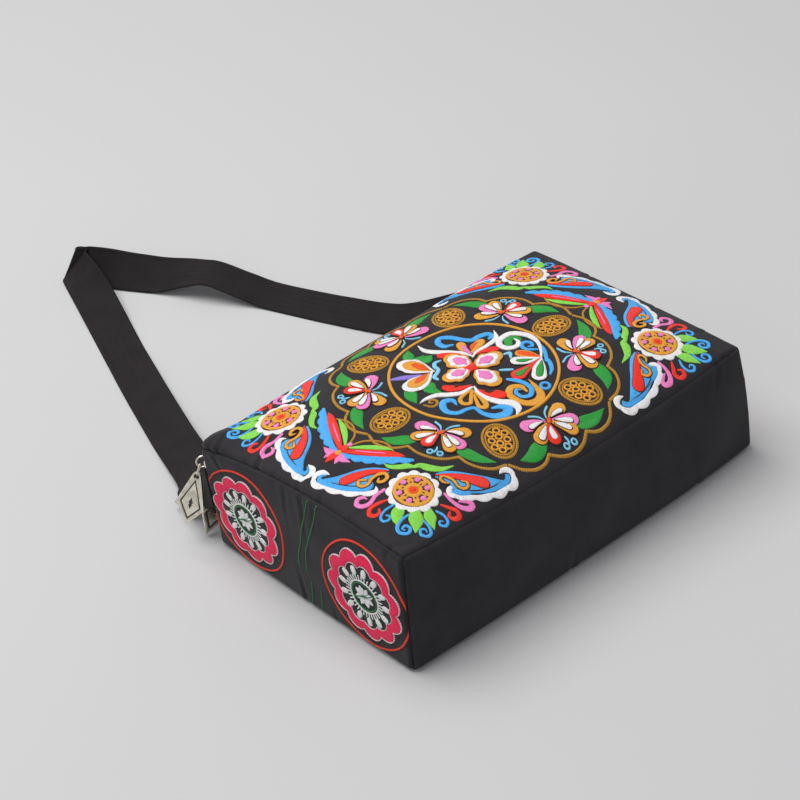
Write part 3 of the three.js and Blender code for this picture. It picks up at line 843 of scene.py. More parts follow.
def add_kite_groove_shade_and_diamond(node, material):
    """Painted shade for the groove round each face of a kite: a dark band inside its rim, laid on the face
    rather than cut into it; and the dark diamond in its middle.
    """
    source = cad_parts[node]
    corners = np.array([vertex.co for vertex in source.data.vertices]) / MM
    centre = (corners.min(axis=0) + corners.max(axis=0)) / 2
    axes = np.linalg.svd(corners - corners.mean(axis=0), full_matrices=False)[2]
    long, wide, out = axes
    flat = (corners - centre) @ axes.T
    ends = [flat[:, 0].argmax(), flat[:, 1].argmax(), flat[:, 0].argmin(), flat[:, 1].argmin()]
    outline = flat[ends, :2]
    middle = outline.mean(axis=0)
    shape = outline - middle
    mid_plane = (flat[:, 2].max() + flat[:, 2].min()) / 2
    half_thick = (flat[:, 2].max() - flat[:, 2].min()) / 2
    points, faces = [], []
    for side in (-1, 1):
        for outer, inner in (GROOVE_SHADE, DIAMOND):
            rings = [np.arange(4) + len(points) + 4 * k for k in range(4)]
            for rise in DARK_MARK_RISES:
                height = mid_plane + side * (half_thick + rise)
                for share in (outer, inner):
                    points += [centre + long * x + wide * y + out * height for x, y in middle + shape * share]
            for first, second in ((3, 2), (2, 0), (0, 1), (1, 3)):
                near, far = rings[first], rings[second]
                faces += [[near[k], near[(k + 1) % 4], far[(k + 1) % 4], far[k]] for k in range(4)]
    piece = make_piece(node + "_groove_shade_and_diamond", np.array(points), faces, material, smooth=False)
    fix_normals(piece)


def add_metal(material, dark):
    for row in range(1, ZIP_ROWS + 1):
        refine(f"zip_slider_{row}", material, bevel=0.35)
        refine(f"pull_ring_{row}", material, rounds=2, fatten=0.09)
        refine(f"pull_link_{row}", material, rounds=2, fatten=0.08)
        refine(f"pull_kite_{row}", material, bevel=0.18)
        # painted shade: a dark band in the nylon's black where each kite's groove is, with the dark diamond
        # in its middle
        add_kite_groove_shade_and_diamond(f"pull_kite_{row}", dark)


# Embroidery: every stroke is a raised, domed band of satin stitches that lies on a panel

THREADS = {  # name: (slot, screen colour 0 to 255, dash length in millimetres or None)
    "gold": ("thread_gold", (234, 164, 52), None),
    "old_gold": ("thread_gold", (186, 130, 34), None),
    "chain_gold": ("thread_gold", (196, 142, 44), 1.5),
    "orange": ("thread_orange", (248, 92, 24), None),
    "ring_orange": ("thread_orange", (240, 60, 34), None),
    "white": ("thread_white", (246, 243, 246), None),
    "silver": ("thread_white", (240, 246, 240), None),
    "dash_white": ("thread_white", (246, 226, 226), 1.6),
    "blue": ("thread_blue", (74, 176, 255), None),
    "pale_blue": ("thread_blue", (136, 212, 252), None),
    "violet": ("thread_blue", (146, 128, 220), None),
    "red": ("thread_red", (252, 50, 34), None),
    "pink": ("thread_pink", (248, 132, 200), None),
    "crimson": ("thread_pink", (255, 4, 84), None),
    "lime": ("thread_lime", (140, 226, 84), None),
    "green": ("thread_green", (44, 164, 62), None),
    "dark_green": ("thread_green", (32, 128, 62), 2.4),
    "brown": ("cloth", (70, 38, 26), None),
}

# Bands of stitches, in millimetres
STROKE_STEP = 0.8
WING_STEP = 0.9
LEVEL_STEP = 0.28
EDGE_LEVEL = -0.7  # of the dark band round a stroke, in levels from the stroke's own
RIM_CLEARANCE = 1.4
RIM_SUNK = 0.3
WIDE_BAND = 2.6
NARROW_SHARES = [-1, -0.72, 0, 0.72, 1]
WIDE_SHARES = [-1, -0.94, -0.74, -0.4, 0, 0.4, 0.74, 0.94, 1]
STEEPEST_DOME = 0.42  # height, as a share of the width
DOME_HEIGHT = 0.34
DOME_GROWTH = 0.03  # for each millimetre of width, up to the widest
DOME_WIDEST = 6
DOME_POWER = 2.6
LEAST_HALF_WIDTH = 0.06
POINTED = 0.3  # a narrower end gets no round cap


def linear(colour):
    parts = np.array(colour) / 255
    return (*np.where(parts <= 0.04045, parts / 12.92, ((parts + 0.055) / 1.055) ** 2.4).tolist(), 1)


def smooth_line(rows, spacing):
    """A smooth curve through rows of values, whose first two are the place, in steps of about spacing."""
    rows = np.asarray(rows, float)
    lengths = np.maximum(np.linalg.norm(np.diff(rows[:, :2], axis=0), axis=1), 1e-3)
    at = np.concatenate([[0], np.cumsum(lengths**0.8)])
    slopes = np.empty_like(rows)
    slopes[1:-1] = (rows[2:] - rows[:-2]) / (at[2:] - at[:-2])[:, None]
    slopes[0] = (rows[1] - rows[0]) / (at[1] - at[0])
    slopes[-1] = (rows[-1] - rows[-2]) / (at[-1] - at[-2])
    pieces = []
    for i in range(len(rows) - 1):
        count = max(2, int(round(lengths[i] / spacing)))
        t = (np.arange(count) / count)[:, None]
        pieces.append(curve(t, rows[i], slopes[i], rows[i + 1], slopes[i + 1], at[i + 1] - at[i]))
    return np.vstack([*pieces, rows[-1:]])


class Embroidery:
    """Strokes on one panel, gathered by colour. to_panel takes pattern x and y to the panel's a and b."""

    def __init__(self, panel, to_panel, seed):
        self.panel, self.to_panel = panel, to_panel
        self.parts = {}
        self.random = np.random.default_rng(seed)
        a, b = to_panel(np.array([0.0, 1.0, 0.0]), np.array([0.0, 0.0, 1.0]))
        self.panel_turn = (a[1] - a[0]) * (b[2] - b[0]) - (a[2] - a[0]) * (b[1] - b[0])
        self.place()

    def place(self, matrix=None, offset=(0, 0)):
        """Where the strokes that follow go: turned or mirrored by matrix, then moved."""
        self.matrix = np.eye(2) if matrix is None else np.asarray(matrix, float)
        self.offset = np.asarray(offset, float)

    def lay(self, colour, left, right, level=0.0, closed=False, slant=0.0, tall=None):
        """A band between two edges, domed across, with its rim sunk into the cloth and a flat underside."""
        span = np.linalg.norm(left - right, axis=1)
        shares = np.array(WIDE_SHARES if span.max() > WIDE_BAND else NARROW_SHARES)
        rim = np.abs(shares) == 1
        middle, half = (left + right) / 2, (left - right) / 2
        spread = middle[:, None] + half[:, None] * shares[None, :, None]
        tallest = DOME_HEIGHT + DOME_GROWTH * np.minimum(span, DOME_WIDEST) if tall is None else tall
        height = np.minimum(span * STEEPEST_DOME, tallest)
        dome = np.sqrt(np.maximum(0, 1 - np.abs(shares) ** DOME_POWER))
        raised = level * LEVEL_STEP * ~rim + height[:, None] * dome[None, :] - RIM_SUNK * rim
        places = spread @ self.matrix.T + self.offset
        points = self.panel.surface(*self.inside(*self.to_panel(places[..., 0], places[..., 1])), raised)
        across = span[:, None] / 2 * shares[None, :]
        along = travel(middle)[:, None] + slant * np.abs(across)
        thread = stack(along, across, self.random.uniform(0, 40))
        rows, columns = points.shape[:2]
        faces = grid_faces(rows, columns, closed_rows=closed, closed_columns=True).tolist()
        if not closed:
            faces.append(list(range(columns))[::-1])
            faces.append(list(range((rows - 1) * columns, rows * columns)))
        if np.linalg.det(self.matrix) * self.panel_turn < 0:
            faces = [face[::-1] for face in faces]
        self.parts.setdefault(colour, []).append((points.reshape(-1, 3), thread.reshape(-1, 3), faces))

    def inside(self, a, b):
        """The nearest places that keep clear of the panel's seams."""
        clear = []
        for values, (low, high) in zip((a, b), (self.panel.a_range, self.panel.b_range)):
            clear.append(np.clip(values, low + RIM_CLEARANCE, high - RIM_CLEARANCE))
        return clear

    def stroke(self, colour, rows, level=0.0, scallops=None, slant=0.0, edge=0.0):
        """A band along a spine. Rows are x, y and half-width, or x, y, left and right half-width.

        scallops is their number, then how deep they are at the left and the right. edge is how far a band of
        the cloth's colour shows round the stroke.
        """
        rows = [row if len(row) == 4 else (*row, row[2]) for row in rows]
        if edge:
            wider = [(x, y, left + edge, right + edge) for x, y, left, right in rows]
            self.stroke("brown", wider, level + EDGE_LEVEL, scallops)
        line = smooth_line(rows, STROKE_STEP)
        spine, widths = line[:, :2], np.maximum(line[:, 2:], LEAST_HALF_WIDTH)
        tangent = np.gradient(spine, axis=0)
        tangent /= np.maximum(np.linalg.norm(tangent, axis=1, keepdims=True), 1e-9)
        normal = np.stack([-tangent[:, 1], tangent[:, 0]], axis=1)
        if scallops:
            count, *depths = scallops
            travelled = travel(spine)
            wave = np.abs(np.sin(math.pi * count * travelled / travelled[-1])) - 0.5
            widths = widths + wave[:, None] * depths
        left, right = spine + normal * widths[:, :1], spine - normal * widths[:, 1:]
        left, right = self.round_ends(spine, tangent, normal, widths, left, right)
        self.lay(colour, left, right, level, slant=slant)

    @staticmethod
    def round_ends(spine, tangent, normal, widths, left, right):
        """Adds a half-round cap to each end that isn't already a point."""
        turns = np.radians([30, 55, 75, 87])[:, None]
        for end, sign in ((0, -1), (-1, 1)):
            size = (widths[end, 0] + widths[end, 1]) / 2
            if size < POINTED:
                continue
            middle = spine[end] + sign * tangent[end] * size * np.sin(turns)
            cap_left = middle + normal[end] * widths[end, 0] * np.cos(turns)
            cap_right = middle - normal[end] * widths[end, 1] * np.cos(turns)
            if sign < 0:
                left, right = np.vstack([cap_left[::-1], left]), np.vstack([cap_right[::-1], right])
            else:
                left, right = np.vstack([left, cap_left]), np.vstack([right, cap_right])
        return left, right

    def between(self, colour, rows, level=0.0):
        """A band between two edges given point by point: left x, left y, right x, right y."""
        rows = np.asarray(rows, float)
        middle = (rows[:, :2] + rows[:, 2:]) / 2
        line = smooth_line(np.hstack([middle, rows]), WING_STEP)
        self.lay(colour, line[:, 2:4], line[:, 4:6], level)

    def dot(self, colour, x, y, radius, level=0.0, stretch=1.0, turn=0.0):
        """A round or oval pad of stitches."""
        half = radius * (stretch - 1)
        c, s = heading(turn)
        dx, dy = half * c + 0.02, half * s
        self.stroke(colour, [(x - dx, y - dy, radius), (x + dx, y + dy, radius)], level)

    def hoop(self, colour, x, y, radius, width, level=0.0, radius_y=None, petals=0, depth=0.0):
        """A closed ring, its outer edge scalloped if it has petals."""
        angles, out = circle(max(24, int(radius * 7), petals * 12))
        sizes = np.array([radius, radius if radius_y is None else radius_y])
        scallop = depth * (np.abs(np.sin(petals / 2 * angles)) - 0.5) if petals else 0 * angles
        outer = out * (sizes + width + scallop[:, None])
        self.lay(colour, (x, y) + out * (sizes - width), (x, y) + outer, level, closed=True)

    def motif(self, table, leaf=None, slant=0.0, lift=1.0, edged=math.inf, unedged=()):
        """The strokes of a table: colour, level, rows and, for some, scallops. Above edged they are edged."""
        for colour, level, rows, *scallops in table:
            edge = GAP if level > edged and colour not in unedged else 0.0
            self.stroke(
                colour, rows, level * lift, scallops=scallops[0] if scallops else None,
                slant=slant if colour == leaf else 0.0, edge=edge,
            )

    def finish(self, prefix, materials):
        """Makes one piece of each colour."""
        for colour, parts in self.parts.items():
            points, threads, own_faces = zip(*parts)
            starts = np.cumsum([0] + [len(own) for own in points])
            faces = [[i + start for i in face] for start, own in zip(starts, own_faces) for face in own]
            make_piece(
                f"{prefix}_{colour}", np.concatenate(points), faces, materials[colour],
                vectors=("thread", np.concatenate(threads)),
            )


# Motifs of the front panel. Rows are x, y and half-width, in millimetres from the panel's middle.

GAP = 0.45  # how far the cloth's dark shows round a raised stroke
RIM = 1.9  # half-width of the white rim of a wing
MANDALA_SHIFT = (-0.8, -1.8)  # from the panel's middle to the big ring's
CORNER_SHIFTS = {(1, 1): (-1, -1), (-1, 1): (1, -1), (1, -1): (-2.4, 1.2), (-1, -1): (2.4, 3.4)}

FLOWER = [  # the flower under the ring; the others are turned copies
    ("gold", 1.4, [(2, -67.5, 0.8), (8, -65.3, 3.2), (13.5, -64.3, 4.9)]),
    ("pink", 2, [(-2, -67.5, 0.8), (-8, -65.3, 3.4), (-13.5, -64.3, 5.2)]),
    ("gold", 2.6, [(-2, -69.5, 0.8), (-8, -72.3, 3.4), (-13.3, -75.3, 4.8)]),
    ("pink", 2.6, [(3, -69.2, 0.8), (9, -72.3, 3.4), (13.8, -75.3, 4.8)]),
    ("gold", 3.2, [(1.4, -70.5, 0.8), (5.2, -75, 3.2), (9, -80, 4.6)]),
    ("red", 3.8, [(-1, -70.5, 0.8), (-3.6, -75, 3.4), (-5.4, -79.3, 4.7)]),
    ("white", 5, [(-3.5, -67.6, 0.2), (-8.5, -66.8, 1.5), (-12.4, -66.9, 1.9)]),
    ("white", 5, [(3.5, -67.6, 0.2), (8.5, -66.6, 1.5), (12.4, -66.8, 1.8)]),
    ("white", 5, [(-4, -70.9, 0.2), (-9, -74, 1.9), (-12.4, -76, 2.2)]),
    ("white", 5, [(4.2, -70.3, 0.2), (9, -73.6, 1.8), (12.4, -75.9, 1.9)]),
    ("white", 5, [(-1.7, -72.4, 0.2), (-3.9, -76, 1.8), (-4.9, -79, 2.2)]),
    ("white", 5, [(2.2, -72.2, 0.2), (5.2, -75.5, 1.7), (8, -79, 2.0)]),
    ("orange", 5, [(-0.4, -70, 1.3), (1.0, -68.4, 1.5)]),
    ("pale_blue", 0.5, [(-0.8, -66.5, 0.4), (-2.6, -62, 0.8), (-6.8, -58.6, 0.9)]),
    ("pale_blue", 0.5, [(1.0, -66.5, 0.4), (4.0, -61.6, 0.8), (8.6, -58.8, 0.9)]),
    ("pale_blue", 0.5, [(1.4, -82, 0.7), (1.5, -84.5, 0.9), (0.4, -86.3, 0.8)]),
    ("green", 0, [(-11, -77.3, 1.5), (-19, -79.6, 4.7), (-27, -81.5, 4.0), (-36, -80, 0.15)]),
    ("green", 0, [(12, -78.8, 1.5), (19, -80.4, 4.3), (28, -81.6, 3.6), (38.5, -79.8, 0.15)]),
]
LOBE_OVER_FLOWER = [(-16.5, -85.5), (-9, -90), (0, -91.6), (9, -90), (16.5, -85.5)]
LOBE_OVER_OVAL = [(16.5, -85.5), (23, -88.5), (31, -88.6), (38.5, -85.2), (44.2, -79)]
OVAL_RINGS = [
    (-8.2, 0), (-3, 0.2), (2.4, -0.2), (7.6, 0), (-5.6, 4.6),
    (-0.2, 5), (5, 4.4), (-5.4, -4.6), (0, -5), (5.2, -4.4),
]

CORNER = [  # the corner at the left of the bottom edge; the others are mirrored copies
    ("lime", 0, [(-120, -64.5, 2.5), (-125.5, -66.6, 4.2), (-129.6, -70, 2.9), (-132.6, -74.4, 0.15)]),
    ("lime", 0.4, [(-116, -72, 2.5), (-120.6, -77.6, 4.8), (-124.4, -81.6, 2.9), (-128.2, -85, 0.15)]),
    ("lime", 0, [(-110, -77, 2.4), (-112.6, -81.4, 4.0), (-114.8, -85.4, 2.3), (-116.8, -89.6, 0.15)]),
    ("blue", 0, [(-123, -60.4, 0.9), (-130, -59.6, 1.0), (-135, -61.6, 1.1), (-136, -65, 1.1),
        (-133, -66.8, 1.0), (-130.8, -65, 0.9), (-131.6, -63, 0.6)]),
    ("blue", 0, [(-122, -72.4, 0.8), (-128, -72.4, 1.1), (-133.6, -74.8, 1.3), (-135.2, -79, 1.3),
        (-131.8, -82.4, 1.2), (-128.2, -80.6, 1.1), (-128.8, -77.2, 1.0), (-132, -77.6, 0.8),
        (-131.6, -79.4, 0.5)]),
    ("blue", 0, [(-117.8, -81, 0.8), (-118, -86, 1.1), (-120.4, -90.4, 1.2), (-124.4, -91, 1.2),
        (-126.2, -87.8, 1.2), (-124, -85.2, 1.0), (-121.4, -86.4, 0.9), (-122, -88.6, 0.5)]),
    ("blue", 0, [(-106.6, -80.6, 0.8), (-104.8, -85, 1.1), (-105.6, -89.4, 1.1), (-109, -91, 1.1),
        (-111.4, -88.8, 1.0), (-109.8, -86.8, 0.8), (-108.2, -87.8, 0.5)]),
    ("red", 0, [(-123, -54.4, 0.8), (-128.4, -52, 1.4), (-134, -51.2, 1.5), (-137.6, -54, 1.6),
        (-136.6, -57.6, 1.5), (-133, -58.2, 1.3), (-131.2, -56, 0.8)]),
    ("red", 0, [(-101, -79, 0.7), (-98.2, -83, 1.3), (-95.6, -86.8, 1.5), (-97, -90.2, 1.6),
        (-101, -90, 1.5), (-102.2, -87, 1.2), (-100, -85.4, 0.7)]),
    ("pink", 0, [(-118.6, -46.8, 1.2), (-125, -46.2, 1.4), (-131.4, -47.8, 1.6), (-136, -45.8, 1.7),
        (-137, -41.8, 1.7), (-133.8, -39.4, 1.6), (-130.8, -41, 1.2), (-130.2, -43.6, 0.5)]),
    ("pink", 0, [(-93.6, -74.4, 0.9), (-93.6, -80, 1.2), (-91.8, -86, 1.6), (-88, -89.2, 1.9),
        (-84.4, -88.6, 1.9), (-84.6, -86, 1.6), (-87.6, -84, 1.2), (-90, -83, 0.6)]),
    ("lime", 0, [(-103.2, -29.4, 0.15), (-102.8, -35, 1.6), (-99, -39.8, 2.2), (-95, -42.8, 2.4),
        (-92.4, -46.6, 1.0)]),
    ("lime", 0.3, [(-93.4, -45.8, 1.0), (-89, -47.8, 2.2), (-86.4, -52.6, 2.9), (-81.4, -58.4, 2.1),
        (-73.6, -61.4, 0.3)]),
    # wing along the short edge
    ("white", 0, [(-119.4, -41, 0.6), (-122.4, -43.2, 1.5), (-127, -40.6, RIM), (-131, -35, RIM),
        (-134.6, -29, RIM), (-136.8, -22, RIM), (-138.4, -14, RIM), (-139.8, -7, RIM), (-138.4, -2.2, RIM),
        (-134.6, -0.9, RIM), (-131.2, -3, 1.7), (-129.2, -8.2, 0.7)], (5, 1.7, 0)),
    ("red", 2.8, [(-106, -38.6, 0.15), (-109.6, -34.4, 1.4), (-114.4, -29.4, 2.4), (-119.6, -26, 3.2),
        (-125, -23.4, 3.9), (-128, -21.8, 3.9)]),
    ("gold", 2.8, [(-120.5, -32.6, 0.7), (-123.5, -29.3, 1.1), (-126, -31.5, 1.2), (-125.4, -34.6, 1.2),
        (-122, -36, 1.2), (-117.5, -34.6, 1.2), (-112.6, -35.2, 1.3), (-109.5, -38, 1.3),
        (-110.6, -41.4, 1.3), (-114.6, -42, 1.2), (-116.8, -39.8, 1.1), (-114.6, -38, 0.6)]),
    ("brown", 1.8, [(-119.4, -37.6, 0.2), (-125.4, -33.6, 0.45), (-130, -27, 0.5), (-133, -19, 0.45),
        (-134.6, -12.6, 0.2)]),
    # wing along the long edge
    ("white", 0, [(-84, -73.2, 0.9), (-88.5, -73.8, 1.4), (-90.4, -77, RIM), (-88, -80.8, RIM),
        (-82.5, -84, RIM), (-77, -87, RIM), (-70.5, -88.9, RIM), (-65, -90.3, RIM), (-58.5, -90.3, RIM),
        (-52, -90.2, RIM), (-47.6, -87.5, 2.0), (-46.4, -83.5, 1.8), (-49.5, -80.5, 1.6),
        (-54, -80.4, 0.6)], (6, 0, 1.7)),
    ("red", 2.8, [(-88.6, -60.4, 0.15), (-83.6, -64.6, 1.4), (-78.2, -70, 2.4), (-73.4, -75.4, 3.2),
        (-69.4, -79.6, 3.9), (-67.8, -81.2, 3.9)]),
    ("gold", 2.8, [(-86.5, -70.5, 0.6), (-88.4, -68, 1.1), (-88, -64.8, 1.2), (-85, -64.3, 1.2),
        (-83.3, -67.5, 1.3), (-82.5, -71.5, 1.2), (-83.3, -75.5, 1.2), (-81.5, -78.6, 1.2),
        (-78, -78.7, 1.2), (-76.6, -75.8, 1.1), (-78.8, -73.8, 0.6)]),
    ("brown", 1.8, [(-85, -76.2, 0.2), (-78.6, -81.4, 0.45), (-71, -84.6, 0.5), (-63, -85.8, 0.45),
        (-57, -85.4, 0.2)]),
]
WINGS = [  # the blue of the two wings: left edge x and y, right edge x and y
    [(-107, -39.4, -104.8, -36), (-112, -35, -109, -28.6), (-117, -35, -114, -23),
        (-121, -40, -118, -19.8), (-126.6, -39.6, -122, -17.4), (-131, -33.6, -126, -15),
        (-134.6, -26.4, -129.5, -12.4), (-137, -18, -132.4, -9.4), (-138.4, -9.4, -134.4, -7.4),
        (-136.8, -4.2, -134.6, -6.4), (-133.6, -3.4, -133.4, -5.8), (-130.8, -6.6, -131.6, -7.6)],
    [(-86.6, -59.4, -89.4, -61.6), (-80.6, -61.6, -86.4, -67), (-74.6, -66.6, -86.8, -76),
        (-69, -72.4, -83, -80.6), (-63, -78, -76, -84.4), (-57.6, -83, -70, -87),
        (-54.6, -85.2, -63, -88.4), (-52.6, -84.6, -56, -88.8), (-51.2, -82.8, -50.6, -87.4),
        (-50.6, -83, -48.6, -84.6)],
]
HOOK = [(-81, -80.6, 2.6), (-85.6, -78.6, 2.2), (-88, -76.4, 1.3)]

BIRD = [  # the upper half of the bird at the left; the rest are mirrored copies
    ("blue", 0.6, [(-114, 2, 1.0), (-112.6, 9, 2.2), (-108.6, 18, 3.2), (-102.6, 28, 3.5), (-96, 36, 2.8),
        (-90.6, 42.4, 1.6)], (6, 1.6, 0)),
    ("red", 1, [(-111, 2.6, 1.6), (-104.6, 13, 2.8), (-98.8, 23, 3.2), (-93.4, 32, 2.2),
        (-91.2, 36.6, 0.15)]),
    ("pink", 2, [(-107, 8, 0.5), (-102.6, 16, 0.7), (-97.6, 24.6, 0.6)]),
    ("lime", 0.6, [(-107, 2.2, 0.8), (-100.6, 9.6, 1.9), (-95.2, 18, 2.0), (-91.6, 26.4, 0.15)]),
    ("old_gold", 0.4, [(-105, 0.8, 0.8), (-97, 4.6, 0.9), (-91.2, 12.6, 0.9), (-90.2, 20, 0.9),
        (-92.4, 26.8, 0.7)]),
    ("pink", 0.6, [(-114.6, 1.4, 2.0), (-117, 6.2, 2.5), (-116, 12.8, 0.15)]),
    ("pink", 0.4, [(-116, 2, 2.0), (-120, 4.4, 1.8), (-122.6, 5, 0.3)]),
]

